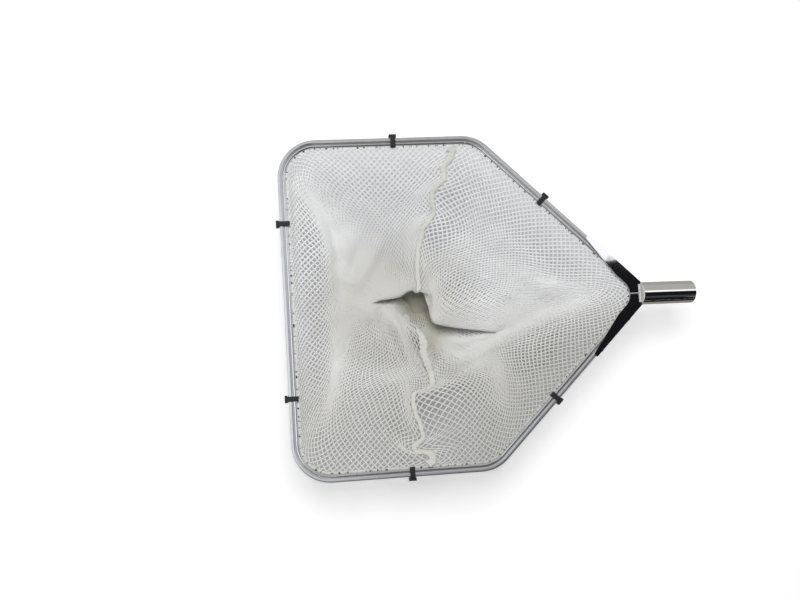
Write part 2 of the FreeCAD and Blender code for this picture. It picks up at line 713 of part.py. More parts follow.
def build():
    """Every piece by its name."""
    pieces = {
        "frame_tube": frame_tube(),
        "yoke_arm_right": yoke_arm(1),
        "yoke_arm_left": yoke_arm(-1),
        "yoke_apex_weld": yoke_apex_weld(),
        "handle_socket": handle_socket(),
        "socket_end_plate": socket_end_plate(),
        "socket_weld_beads": socket_weld_beads(),
        "net_panel_front": net_panel(True),
        "net_panel_rear": net_panel(False),
        "seam_tape": seam_tape(),
        "hem_tape": hem_tape(),
        "hem_cord": hem_cord(),
    }
    for name, base, inwards in rivet_places():
        pieces[name] = rivet(base, inwards)
    for name, (base, inwards) in tie_places().items():
        pieces[name] = cable_tie(base, inwards)
    return pieces


def place_on_floor(pieces):
    """Moves the origin under the middle of the whole net, on the surface that it lies on."""
    whole = FreeCAD.BoundBox()
    for shape in pieces.values():
        whole.add(shape.optimalBoundingBox(True, False))
    shift = vec(-whole.Center.x, -whole.Center.y, -whole.ZMin)
    for shape in pieces.values():
        shape.translate(shift)
    return shift


def main():
    os.makedirs("parts", exist_ok=True)
    pieces = build()
    shift = place_on_floor(pieces)
    print("origin moved by", [round(v, 3) for v in shift])
    for name, shape in pieces.items():
        box = shape.optimalBoundingBox(True, False)
        size = [round(v, 1) for v in (box.XLength, box.YLength, box.ZLength)]
        print(name, "solids", len(shape.Solids), "valid", shape.isValid(), "size", size)
        shape.exportStep(f"parts/{name}.step")


main()
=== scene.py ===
"""Leaf skimmer net: a house-shaped aluminium frame with a slack mesh bag, a folded yoke and a
pole socket. The frame, the yoke, the socket, the welds and the ties show as they are packed; this
file makes the net, its binding, the hem and the rivets, and gives every piece its finish.
"""

import math

import bpy
import numpy as np
from bpy.props import FloatProperty, FloatVectorProperty, IntProperty, PointerProperty
from mathutils import Matrix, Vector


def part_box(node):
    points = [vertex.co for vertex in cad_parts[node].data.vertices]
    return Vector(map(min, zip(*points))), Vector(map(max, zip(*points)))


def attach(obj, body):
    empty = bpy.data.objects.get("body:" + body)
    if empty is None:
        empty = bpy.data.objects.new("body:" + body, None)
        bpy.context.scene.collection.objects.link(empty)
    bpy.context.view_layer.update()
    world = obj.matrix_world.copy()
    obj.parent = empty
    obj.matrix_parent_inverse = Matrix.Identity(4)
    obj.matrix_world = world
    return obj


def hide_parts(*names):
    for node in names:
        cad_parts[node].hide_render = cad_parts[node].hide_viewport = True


bl_info = {
    "name": "Leaf skimmer net",
    "version": (1, 0, 0),
    "blender": (4, 5, 0),
    "location": "View3D > Sidebar > Leaf net",
    "description": "Dresses the frame of a leaf skimmer net with its bag, seams, ties and metals",
    "category": "Object",
}

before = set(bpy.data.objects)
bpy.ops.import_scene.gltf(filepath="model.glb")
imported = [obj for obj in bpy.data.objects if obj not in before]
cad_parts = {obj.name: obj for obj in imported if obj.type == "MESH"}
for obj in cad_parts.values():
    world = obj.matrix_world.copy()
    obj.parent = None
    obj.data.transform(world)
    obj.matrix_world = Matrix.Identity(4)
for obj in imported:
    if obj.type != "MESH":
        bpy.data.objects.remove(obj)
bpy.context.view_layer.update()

# Millimetres in the frame's own drawing: X from the front bar's outer edge towards the handle,
# Y to the right, Z up from the middle plane of the frame
MM = 0.001
_low, _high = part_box("frame_tube")
DRAWING_ORIGIN = np.array([_low.x, 0.0, (_low.z + _high.z) / 2])
HALF_WIDTH = round((_high.y - _low.y) / 2 / MM, 1)

SIDE_LENGTH = 311.0
TAPER_LENGTH = 264.0
APEX_X = SIDE_LENGTH + TAPER_LENGTH
TAPER_ANGLE = math.atan2(HALF_WIDTH, TAPER_LENGTH)

# Net: how far inside the frame's outline its edge runs, and its square mesh
RIM_INSET = 16.5
RIM_CORNER_RADIUS = 43.5
RIM_APEX_RADIUS = 26.0
MESH_PITCH = 6.8
ROW = MESH_PITCH / math.sqrt(2)
SEAM_RIGHT_END = 269.0
SEAM_LEFT_END = 204.0
THROAT_DEPTH = 268.0
# The first hang of the cloth under the rim: its length, the share of the way in to the first
# level that it covers, and its drop; the second value is for cloth that runs to the handle
HANG = 18.0
HANG_REACH = (0.28, 0.17)
HANG_DROP = (5.0, 15.5)
# Waves all over the cloth, and the lowest knots' height over the floor
WAVES = 9
WAVE_LENGTHS = (26.0, 75.0)
FLOOR_GAP = 1.6

# Hem tape: where it runs, how far it reaches into the slot and out of it, half its thickness,
# and the lengths of its gathers and of the waves in its lip
HEM_INSET = 14.6
HEM_STEP = 1.25
HEM_ROOT = 2.6
HEM_LIP = 1.5
HEM_LIP_WAVE = 0.75
HEM_HALF = 0.55
GATHER_LENGTH = 9.0
LIP_WAVE_LENGTH = 6.2
# Stitch: its bend as (along, up), its thread and its distance from the hem's line
STITCH_BEND = [(-1.5, 0.0), (-1.25, 0.32), (0.0, 0.42), (1.25, 0.32), (1.5, 0.0)]
STITCH_RADIUS = 0.3
STITCH_INSET = 1.7

# Binding: the length of its puckers and of its slower swells, its lift off the cloth, and how
# much wider it is at the rim and, on the left seam, at the throat
PUCKER_LENGTH = 7.0
SWELL_LENGTH = 17.0
BINDING_LIFT = 1.1
RIM_FLARE = 0.7
RIM_FLARE_LENGTH = 70.0
THROAT_FLARE = 0.9

# Rivet: half its section as (radius, height) over the yoke's wall, and places from the apex
RIVET_PROFILE = [
    (0.0, -6.0), (2.0, -6.0), (2.0, 0.0), (3.6, 0.0), (3.6, 0.35), (3.35, 0.85), (2.8, 1.35),
    (2.0, 1.7), (1.35, 1.8), (1.2, 1.7), (1.15, 1.1), (0.95, 1.15), (0.6, 1.3), (0.0, 1.35),
]
RIVET_PLACES = (121.6, 55.0)
YOKE_WALL = 1.3

# Places on the rim, from the right seam round by the front bar, the left side and the apex
STATIONS = [
    (269, 244), (150, 244), (30, 230), (16, 115), (16, 0),
    (16, -115), (30, -230), (115, -244), (204, -244), (306, -239),
    (426, -124), (483, -66), (540, 0), (483, 66), (426, 124),
    (362, 188), (306, 239),
]
# Where the cloth lies below each of those places, by the length of cloth from the rim
LEVELS = {
    65: [
        (258, 184, -16), (152, 180, -16), (53, 193, -20), (65, 106, -32), (64, 5, -43),
        (64, -91, -40), (63, -173, -20), (128, -177, -14), (214, -182, -14), (304, -177, -12),
        (384, -92, -14), (446, -39, -14), (486, 1, -14), (437, 35, -16), (386, 85, -18),
        (336, 136, -17), (289, 179, -16),
    ],
    120: [
        (247, 141, -34), (155, 136, -38), (87, 142, -42), (86, 81, -52), (83, 10, -57),
        (83, -61, -54), (90, -125, -40), (158, -125, -34), (222, -127, -33), (305, -127, -30),
        (358, -69, -46), (417, -29, -36), (446, 0, -26), (398, 30, -28), (357, 63, -31),
        (318, 101, -32), (278, 129, -33),
    ],
    200: [
        (218, 81, -50), (164, 71, -54), (129, 67, -58), (110, 41, -60), (104, 9, -63),
        (110, -26, -66), (146, -64, -66), (187, -80, -68), (219, -85, -70), (274, -84, -78),
        (319, -60, -74), (352, -40, -62), (368, -11, -50), (344, 9, -48), (313, 30, -48),
        (266, 53, -48), (233, 70, -48),
    ],
    268: [
        (212, 26, -56), (183, 18, -58), (166, 16, -60), (153, 15, -62), (142, 12, -63),
        (150, 9, -68), (165, 7, -72), (177, 3, -70), (194, -20, -72), (234, -38, -84),
        (285, -48, -82), (340, -45, -74), (306, -39, -70), (262, -32, -64), (236, -25, -60),
        (233, -5, -58), (230, 20, -57),
    ],
    310: [
        (206, 53, -80), (183, 44, -82), (162, 41, -84), (143, 37, -88), (128, 32, -94),
        (135, 24, -101), (158, 20, -107), (197, 11, -104), (216, -11, -108), (240, -8, -110),
        (269, -17, -108), (291, -15, -102), (297, -3, -94), (280, 7, -86), (257, 18, -82),
        (234, 32, -80), (218, 42, -80),
    ],
    350: [
        (262, 36, -92), (240, 38, -98), (215, 36, -106), (195, 22, -110), (182, 0, -111),
        (178, -30, -111), (182, -62, -111), (200, -88, -110), (222, -104, -106), (255, -110, -98),
        (290, -98, -91), (305, -72, -89), (310, -45, -88), (308, -18, -88), (303, 4, -88),
        (290, 22, -89), (277, 32, -90),
    ],
    400: [
        (320, 34, -94), (300, 36, -101), (276, 34, -108), (258, 20, -111), (248, -2, -112),
        (244, -32, -112), (248, -64, -112), (262, -90, -111), (284, -106, -106), (315, -112, -99),
        (345, -100, -92), (360, -74, -90), (365, -46, -89), (363, -18, -89), (357, 5, -89),
        (346, 22, -90), (334, 31, -92),
    ],
    450: [
        (378, 30, -97), (360, 32, -103), (340, 30, -109), (325, 16, -112), (316, -4, -112),
        (313, -34, -112), (316, -64, -112), (328, -88, -112), (348, -104, -107), (375, -108, -101),
        (400, -96, -95), (412, -72, -93), (416, -45, -92), (414, -18, -92), (409, 4, -92),
        (400, 20, -93), (390, 28, -95),
    ],
    500: [
        (425, 22, -103), (415, 24, -107), (405, 22, -110), (400, 10, -112), (396, -8, -112),
        (394, -34, -112), (396, -60, -112), (402, -80, -112), (412, -94, -110), (425, -98, -106),
        (440, -88, -103), (447, -68, -102), (450, -45, -101), (449, -20, -101), (446, 0, -101),
        (440, 14, -102), (432, 20, -103),
    ],
}
# The seams' wandering lines in plan, from the rim to the throat
SEAM_RIGHT_LINE = [
    (269, 247), (274, 235), (259, 215), (260, 198), (241, 178), (241, 159), (245, 147),
    (226, 123), (216, 87), (214, 56), (215, 29),
]
SEAM_LEFT_LINE = [
    (209, -247), (213, -237), (207, -226), (193, -225), (184, -222), (187, -214), (201, -205),
    (200, -191), (194, -165), (192, -147), (195, -136), (216, -132), (227, -127), (229, -108),
    (218, -74), (217, -55), (209, -32),
]

# Folds that run out from the throat: height, half width and line in plan
FOLDS = [
    (8.0, 6.5, [(162, 9), (179, -31), (195, -80), (215, -125)]),
    (-5.0, 7.0, [(189, -43), (203, -74), (217, -116)]),
    (9.0, 6.0, [(186, -12), (210, -41), (223, -73), (229, -123)]),
    (-10.0, 9.0, [(230, -37), (244, -73), (244, -117)]),
    (6.0, 7.0, [(133, 8), (147, -41), (159, -93)]),
    (-5.0, 7.0, [(149, 5), (163, -37), (179, -85)]),
    (7.0, 9.0, [(101, 17), (123, 48), (147, 85), (169, 133)]),
    (-7.0, 10.0, [(101, 46), (119, 83), (137, 131)]),
    (6.0, 9.0, [(343, -49), (309, -73), (274, -106)]),
    (-6.0, 9.0, [(293, -60), (267, -84), (247, -117)]),
    (
        6.0, 5.5,
        [(209, -140), (252, -119), (291, -98), (337, -78), (401, -53), (460, -24), (513, -2)],
    ),
    (-6.0, 11.0, [(229, -120), (272, -91), (319, -64), (379, -34), (437, -7), (487, 8)]),
]


def to_row(points):
    """Points of the drawing, in millimetres, as metres in the row frame."""
    return np.asarray(points, float) * MM + DRAWING_ORIGIN


def house(inset):
    """The five corners of the frame's outline moved inwards, from the apex round by the right."""
    y_side = HALF_WIDTH - inset
    x_apex = APEX_X - inset / math.sin(TAPER_ANGLE)
    x_shoulder = x_apex - y_side / math.tan(TAPER_ANGLE)
    right = [[x_shoulder, y_side], [inset, y_side]]
    left = [[inset, -y_side], [x_shoulder, -y_side]]
    return np.array([[x_apex, 0], *right, *left])


def unit(v):
    """Vectors with a length of 1."""
    v = np.asarray(v, float)
    return v / np.maximum(np.linalg.norm(v, axis=-1, keepdims=True), 1e-12)


class Outline:
    """The frame's house shape with rounded corners at one inset, walked by arc length."""

    def __init__(self, inset, corner_radius, apex_radius, steps=40):
        corners = house(inset)
        radii = [apex_radius] + [corner_radius] * 4
        points = []
        for i in range(5):
            back = unit(corners[i - 1] - corners[i])
            ahead = unit(corners[(i + 1) % 5] - corners[i])
            half = math.acos(back @ ahead) / 2
            centre = corners[i] + unit(back + ahead) * radii[i] / math.sin(half)
            reach = radii[i] / math.tan(half)
            first = corners[i] + back * reach - centre
            last = corners[i] + ahead * reach - centre
            turn = math.pi - 2 * half
            share = np.linspace(0, 1, steps + 1)[:, None]
            swing = np.sin((1 - share) * turn) * first + np.sin(share * turn) * last
            points.append(centre + swing / math.sin(turn))
        ring = np.concatenate(points)
        self.points = np.vstack([ring, ring[:1]])
        self.length_at = np.concatenate(
            [[0], np.cumsum(np.linalg.norm(np.diff(self.points, axis=0), axis=1))]
        )
        self.length = self.length_at[-1]

    def at(self, s):
        """Places at lengths along the outline."""
        s = np.asarray(s, float) % self.length
        return np.stack([np.interp(s, self.length_at, self.points[:, i]) for i in (0, 1)], -1)

    def nearest(self, point):
        """The length along the outline at the place nearest to a point."""
        s = np.linspace(0, self.length, 20001)
        return s[np.linalg.norm(self.at(s) - np.asarray(point, float), axis=1).argmin()]

    def inwards(self, s):
        """The way in from the outline, square to it."""
        ahead = unit(self.at(np.asarray(s) + 0.5) - self.at(np.asarray(s) - 0.5))
        return np.stack([-ahead[..., 1], ahead[..., 0]], -1)


def cubic(p0, t0, p1, t1, h, t):
    """Cubic between two points with tangents per unit, over a stretch h long, at share t."""
    return (
        (2 * t**3 - 3 * t**2 + 1) * p0
        + (t**3 - 2 * t**2 + t) * h * t0
        + (-2 * t**3 + 3 * t**2) * p1
        + (t**3 - t**2) * h * t1
    )


def tangents(where, points):
    """Tangents at uneven stations, from the slopes on both sides; one-sided at the ends."""
    gap = np.diff(where)
    slope = np.diff(points, axis=0) / gap.reshape([-1] + [1] * (points.ndim - 1))
    result = np.empty_like(points)
    result[0], result[-1] = slope[0], slope[-1]
    for k in range(1, len(where) - 1):
        result[k] = (slope[k - 1] * gap[k] + slope[k] * gap[k - 1]) / (gap[k - 1] + gap[k])
    return result


class Bag:
    """The slack bag: a strip of mesh wrapped round the rim, in columns, going down in rows."""

    def __init__(self):
        self.rim = Outline(RIM_INSET, RIM_CORNER_RADIUS, RIM_APEX_RADIUS)
        self.s_right = self.rim.nearest((SEAM_RIGHT_END, HALF_WIDTH - RIM_INSET))
        self.s_left = self.rim.nearest((SEAM_LEFT_END, RIM_INSET - HALF_WIDTH))
        self.front = self.s_left - self.s_right
        self.rear = self.rim.length - self.front
        self.front_columns = round(self.front / (2 * ROW))
        self.columns = self.front_columns + round(self.rear / (2 * ROW))
        self.depth = max(LEVELS)
        self.rows = int(self.depth / ROW)
        half_columns = np.arange(2 * self.columns) / 2
        self.depths, self.level_points = self._levels(half_columns)
        self.slopes = tangents(self.depths, self.level_points)
        self.points = np.array([self.row(r) for r in range(self.rows + 1)])

    def rim_place(self, column):
        """Arc length on the rim above a column."""
        c = np.asarray(column, float) % self.columns
        n = self.front_columns
        rear = self.s_left + self.rear * (c - n) / (self.columns - n)
        return np.where(c <= n, self.s_right + self.front * c / n, rear)

    def column_of(self, point):
        """The column that hangs from the rim nearest to a point."""
        s = (self.rim.nearest(point) - self.s_right) % self.rim.length
        n = self.front_columns
        if s <= self.front:
            return n * s / self.front
        return n + (self.columns - n) * (s - self.front) / self.rear

    def _levels(self, columns):
        """The depths of the levels, and the cloth's place on every column at each of them."""
        stations = np.array([self.column_of(place) for place in STATIONS])
        stations[0] = 0.0
        rim = np.zeros((len(columns), 3))
        rim[:, :2] = self.rim.at(self.rim_place(columns))
        result = [(0.0, rim)]
        for depth, places in LEVELS.items():
            around = np.concatenate([stations - self.columns, stations, stations + self.columns])
            tripled = np.concatenate([np.array(places, float)] * 3)
            slope = tangents(around, tripled)
            k = np.clip(np.searchsorted(around, columns, side="right") - 1, 0, len(around) - 2)
            gap = (around[k + 1] - around[k])[:, None]
            share = (columns - around[k])[:, None] / gap
            ring = cubic(tripled[k], slope[k], tripled[k + 1], slope[k + 1], gap, share)
            result.append((float(depth), ring))
        way_in = result[1][1] - rim
        to_handle = np.clip((unit(way_in[:, :2])[:, 0] - 0.2) / 0.8, 0, 1)
        hang = rim + way_in * np.interp(to_handle, (0, 1), HANG_REACH)[:, None]
        hang[:, 2] = -np.interp(to_handle, (0, 1), HANG_DROP)
        result.insert(1, (HANG, hang))
        return np.array([depth for depth, _ in result]), np.array([ring for _, ring in result])

    def full_row(self, r):
        """A row at both the columns and the half columns."""
        d = min(r * ROW, self.depths[-1])
        k = min(np.searchsorted(self.depths, d, side="right") - 1, len(self.depths) - 2)
        gap = self.depths[k + 1] - self.depths[k]
        return cubic(
            self.level_points[k], self.slopes[k], self.level_points[k + 1], self.slopes[k + 1],
            gap, (d - self.depths[k]) / gap,
        )

    def row(self, r):
        """The knots of a row; every other row is shifted by half a column."""
        return self.full_row(r)[r % 2 :: 2]

    def follow_seams(self, reach=4.0):
        """Pulls the cloth beside each seam along to the seam's wandering line."""
        last = int(THROAT_DEPTH / ROW)
        for line, column in ((SEAM_RIGHT_LINE, 0), (SEAM_LEFT_LINE, self.front_columns)):
            plain = np.array([self.full_row(r)[2 * column] for r in range(last + 1)])
            share = path_length(plain)
            line = np.array(line, float)
            line_share = path_length(line)
            share, line_share = share / share[-1], line_share / line_share[-1]
            wanted = np.stack([np.interp(share, line_share, line[:, i]) for i in (0, 1)], -1)
            pull = wanted - plain[:, :2]
            half_round = self.columns / 2
            for r in range(last + 1):
                place = np.arange(self.columns) + 0.5 * (r % 2)
                away = np.abs((place - column + half_round) % self.columns - half_round)
                fade = min(1.0, r / 2.0)
                self.points[r, :, :2] += pull[r] * fade * np.exp(-((away / reach) ** 2))[:, None]

    def fold(self, ending=12.0):
        """Raises the ridges and sinks the valleys of FOLDS in the cloth above the throat."""
        plan = self.points[..., :2]
        depth = np.arange(self.rows + 1) * ROW
        above = np.clip((THROAT_DEPTH - depth) / (2 * ending) + 0.5, 0, 1)[:, None]
        for height, width, line in FOLDS:
            line = np.array(line, float)
            fine = np.concatenate([np.linspace(a, b, 12) for a, b in zip(line, line[1:])])
            share = path_length(fine)
            away = np.linalg.norm(plan[..., None, :] - fine, axis=-1)
            fade = np.sin(math.pi * share / share[-1])[away.argmin(-1)]
            self.points[..., 2] += height * above * fade * np.exp(-((away.min(-1) / width) ** 2))

    def wrinkle(self, height, jitter, seed):
        """Low waves all over the cloth, and threads that aren't quite even."""
        rng = np.random.default_rng(seed)
        plan = self.points[..., :2]
        fade = np.minimum(np.arange(self.rows + 1) / 6.0, 1.0)[:, None]
        waves = np.zeros(plan.shape[:2])
        for _ in range(WAVES):
            turn, phase = rng.uniform(0, 2 * math.pi, 2)
            length = rng.uniform(*WAVE_LENGTHS)
            along = plan @ np.array([math.cos(turn), math.sin(turn)])
            waves += np.sin(2 * math.pi * along / length + phase)
        self.points[..., 2] += waves / math.sqrt(WAVES) * height * fade
        self.points += rng.normal(0.0, jitter, self.points.shape) * fade[..., None]
        lowest = FLOOR_GAP - DRAWING_ORIGIN[2] / MM
        self.points[..., 2] = np.maximum(self.points[..., 2], lowest)

    def node(self, r, j):
        """The knot in a row at a number of half columns."""
        return self.points[r, ((j - r % 2) // 2) % self.columns]

    def thread_lines(self, first, last):
        """The threads between two half columns, one line after another, as points and edges."""
        points, edges = [], []
        for lean in (1, -1):
            edge = first if lean > 0 else last
            starts = [(0, j) for j in range(first, last + 1) if j % 2 == 0]
            starts += [(r, edge) for r in range(1, self.rows) if (edge - r) % 2 == 0]
            for r, j in starts:
                begin = len(points)
                while r <= self.rows and first <= j <= last:
                    points.append(self.node(r, j))
                    r += 1
                    j += lean
                if len(points) - begin < 2:
                    del points[begin:]
                    continue
                edges += [(k, k + 1) for k in range(begin, len(points) - 1)]
        return np.array(points), edges


def path_length(points):
    """Length along a line up to each of its points."""
    return np.concatenate([[0], np.cumsum(np.linalg.norm(np.diff(points, axis=0), axis=1))])


def smooth_line(points, step):
    """A smooth line through points, at even steps."""
    points = np.asarray(points, float)
    where = path_length(points)
    slope = tangents(where, points)
    wanted = np.linspace(0, where[-1], max(2, int(where[-1] / step) + 1))
    k = np.clip(np.searchsorted(where, wanted, side="right") - 1, 0, len(where) - 2)
    gap = (where[k + 1] - where[k])[:, None]
    share = (wanted - where[k])[:, None] / gap
    return cubic(points[k], slope[k], points[k + 1], slope[k + 1], gap, share)


class Value:
    """A node's output that takes part in sums: an expression on values adds its Math nodes."""

    def __init__(self, layout, socket):
        self.layout = layout
        self.socket = socket

    def of(self, name):
        """Another output of the same node."""
        return Value(self.layout, find_socket(self.socket.node.outputs, name))

    def __add__(self, other):
        return self.layout.math("ADD", self, other)

    def __radd__(self, other):
        return self.layout.math("ADD", other, self)

    def __sub__(self, other):
        return self.layout.math("SUBTRACT", self, other)

    def __rsub__(self, other):
        return self.layout.math("SUBTRACT", other, self)

    def __mul__(self, other):
        return self.layout.math("MULTIPLY", self, other)

    def __rmul__(self, other):
        return self.layout.math("MULTIPLY", other, self)

    def __truediv__(self, other):
        return self.layout.math("DIVIDE", self, other)


def find_socket(sockets, key):
    """A socket by its number, its identifier or its name."""
    if isinstance(key, int):
        return sockets[key]
    for socket in sockets:
        if socket.identifier == key:
            return socket
    for socket in sockets:
        if socket.name == key and socket.enabled:
            return socket
    raise KeyError(f"no socket {key!r} among {[s.identifier for s in sockets]}")


class Layout:
    """A node tree, filled through one method."""

    def __init__(self, tree):
        self.tree = tree
        tree.nodes.clear()

    def node(self, kind, settings=None, sockets=None):
        """Adds a node: its settings first, then its sockets' values or links."""
        made = self.tree.nodes.new(kind)
        for name, value in (settings or {}).items():
            setattr(made, name, value)
        for key, value in (sockets or {}).items():
            socket = find_socket(made.inputs, key)
            if isinstance(value, Value):
                self.tree.links.new(value.socket, socket)
            else:
                socket.default_value = value
        return Value(self, made.outputs[0]) if made.outputs else made

    def math(self, operation, *values):
        return self.node("ShaderNodeMath", {"operation": operation}, dict(enumerate(values)))

    def clamp(self, value, low=0.0, high=1.0):
        return self.node("ShaderNodeClamp", sockets={"Value": value, "Min": low, "Max": high})

    def mix(self, share, first, second):
        """A colour between two."""
        return self.node(
            "ShaderNodeMix",
            {"data_type": "RGBA"},
            {"Factor_Float": share, "A_Color": colour(first), "B_Color": colour(second)},
        ).of("Result_Color")

    def scaled(self, vector, factors):
        return self.node(
            "ShaderNodeVectorMath", {"operation": "MULTIPLY"}, {0: vector, 1: factors}
        )

    def noise(self, vector, scale, detail=2.0, roughness=0.5):
        return self.node(
            "ShaderNodeTexNoise",
            sockets={"Vector": vector, "Scale": scale, "Detail": detail, "Roughness": roughness},
        )


def colour(value):
    """A colour with its alpha, or a link as it is."""
    return value if isinstance(value, Value) else (*tuple(value)[:3], 1.0)


def toned(base, factor):
    """A colour with every channel multiplied by one number."""
    return [channel * factor for channel in base]


def finish(name, paint):
    """A material; its paint function lays out the nodes and gives the shader's sockets."""
    material = bpy.data.materials.new(name)
    material.use_nodes = True
    layout = Layout(material.node_tree)
    place = layout.node("ShaderNodeTexCoord").of("Object")
    surface = layout.node("ShaderNodeBsdfPrincipled", sockets=paint(layout, place))
    layout.node("ShaderNodeOutputMaterial", sockets={"Surface": surface})
    return material


def bump(layout, height, distance, strength=1.0, normal=None):
    """A raised grain, over another one where a normal is given."""
    sockets = {"Height": height, "Distance": distance, "Strength": strength}
    if normal is not None:
        sockets["Normal"] = normal
    return layout.node("ShaderNodeBump", sockets=sockets)


# The bars are bright along the middle of their sides, up to this height, and satin beyond
BRIGHT_HALF_HEIGHT = 0.0033


def drawn_aluminium(base):
    """Extruded bar, tumbled and handled: fine pitting, faint blotches and darker stains."""

    def paint(layout, place):
        fine = layout.noise(place, 1400.0, 3.0, 0.6)
        blotch = layout.noise(place, 55.0, 4.0, 0.6)
        stain = layout.clamp((blotch - 0.52) * 4.0)
        tone = layout.mix(stain, base, toned(base, 0.86))
        height = layout.node("ShaderNodeSeparateXYZ", sockets={"Vector": place}).of("Z")
        off = layout.math("ABSOLUTE", height - float(DRAWING_ORIGIN[2]))
        satin = layout.clamp((off - BRIGHT_HALF_HEIGHT) * 3000.0)
        return {
            "Base Color": layout.mix(fine * 0.25, tone, toned(base, 0.8)),
            "Metallic": 1.0,
            "Roughness": layout.clamp(0.1 + satin * 0.16 + blotch * 0.1 + fine * 0.06),
            "Normal": bump(layout, fine, 0.00006, 0.35),
        }

    return paint


def mirror_steel(base):
    """Polished plate: nearly a mirror, with slow waves, hairline scratches and fingermarks."""

    def paint(layout, place):
        wave = layout.noise(place, 38.0, 1.0, 0.4)
        hair = layout.noise(layout.scaled(place, (900.0, 60.0, 300.0)), 1.0, 2.0, 0.6)
        mark = layout.noise(place, 90.0, 3.0, 0.6)
        smear = layout.clamp((mark - 0.5) * 3.0)
        normal = bump(layout, wave, 0.0006, 0.25)
        return {
            "Base Color": layout.mix(smear * 0.3, base, toned(base, 0.9)),
            "Metallic": 1.0,
            "Roughness": layout.clamp(0.03 + smear * 0.05 + hair * 0.02),
            "Normal": bump(layout, hair, 0.00002, 0.2, normal),
        }

    return paint


def weld_metal(base):
    """A bright bead with brushed ripples and a straw and blue tint where it was hot."""

    def paint(layout, place):
        heat = layout.noise(place, 160.0, 2.0, 0.5)
        grain = layout.noise(place, 1600.0, 3.0, 0.7)
        straw = layout.mix(layout.clamp((heat - 0.5) * 4.0), base, (0.62, 0.56, 0.46))
        tint = layout.mix(layout.clamp((0.42 - heat) * 5.0), straw, (0.42, 0.45, 0.52))
        return {
            "Base Color": tint,
            "Metallic": 1.0,
            "Roughness": layout.clamp(0.18 + grain * 0.25),
            "Normal": bump(layout, grain, 0.0001, 0.4),
        }

    return paint


def moulded_nylon(base):
    """Black nylon strap: a fine matt grain, greyer where it rubs."""

    def paint(layout, place):
        grain = layout.noise(place, 2600.0, 2.0, 0.5)
        rub = layout.clamp((layout.noise(place, 260.0, 3.0, 0.6) - 0.55) * 3.0)
        return {
            "Base Color": layout.mix(rub * 0.5, base, toned(base, 2.4)),
            "Roughness": layout.clamp(0.42 + grain * 0.16),
            "Normal": bump(layout, grain, 0.00005, 0.4),
        }

    return paint


# Where the net's thread is darker and creamier, in metres in the row frame: painted shade of the
# deep folds round the throat and in the bag's end below the throat, and painted shade on the left
# side
THROAT = (-0.15, -0.01)
THROAT_SHADE_RADIUS = 0.155
PIT_SHADE_RADIUS = 0.11
PIT_SHADE_HEIGHT = 0.045


def left_shade(layout, parts):
    """0 by the right bars, rising to 1 towards the left bars: the mask of painted shade that is
    darker towards the left bars.
    """
    return layout.clamp((parts.of("X") * 0.6 - parts.of("Y")) / 0.3)


def knitted_thread(clean, cream_and_shade):
    """White polyester thread: a twist along each thread, cleaner and creamier patches at random,
    and painted shade round the throat, low in the bag's end, on the left side and towards the
    handle on the left.
    """

    def paint(layout, place):
        parts = layout.node("ShaderNodeSeparateXYZ", sockets={"Vector": place})
        across = parts.of("Y")
        along = parts.of("X") - THROAT[0]
        aside = across - THROAT[1]
        away = layout.math("SQRT", along * along + aside * aside)
        # Painted shade: darker, creamier thread round the throat, where the cloth lies in deep
        # folds
        throat_shade = layout.clamp((THROAT_SHADE_RADIUS - away) / 0.08)
        # Painted shade, darker towards the left side
        left = layout.clamp((0.0 - across) / 0.14 + along * 0.8)
        # Painted shade low in the bag's end below the throat
        low = layout.clamp((PIT_SHADE_HEIGHT - parts.of("Z")) / 0.02)
        end = low * layout.clamp((PIT_SHADE_RADIUS - away) / 0.03)
        # Painted shade towards the handle on the left side
        corner = layout.clamp((along - across - 0.2) / 0.2)
        patch = layout.noise(place, 9.0, 3.0, 0.55)
        speck = layout.noise(place, 420.0, 2.0, 0.6)
        fibre = layout.noise(layout.scaled(place, (2400.0, 2400.0, 900.0)), 1.0, 2.0, 0.6)
        # Random creamier patches, with the painted shade round the throat and on the left side
        use = layout.clamp(layout.math("MAXIMUM", throat_shade, left * 0.9) + (patch - 0.5) * 0.5)
        tone = layout.mix(use, clean, cream_and_shade)
        tone = layout.mix(corner * layout.clamp(0.0 - across * 12.0), tone, toned(cream_and_shade, 0.85))
        # The brownish tone of the painted shade in the bag's end
        pit_shade = [channel * share for channel, share in zip(cream_and_shade, (0.75, 0.72, 0.62))]
        tone = layout.mix(end * 0.75, tone, pit_shade)
        shade = layout.mix(layout.clamp((speck - 0.6) * 2.0), tone, toned(cream_and_shade, 0.9))
        return {
            "Base Color": shade,
            "Roughness": layout.clamp(0.7 + fibre * 0.2),
            "Sheen Weight": 0.15,
            "Normal": bump(layout, fibre, 0.00012, 0.5),
        }

    return paint


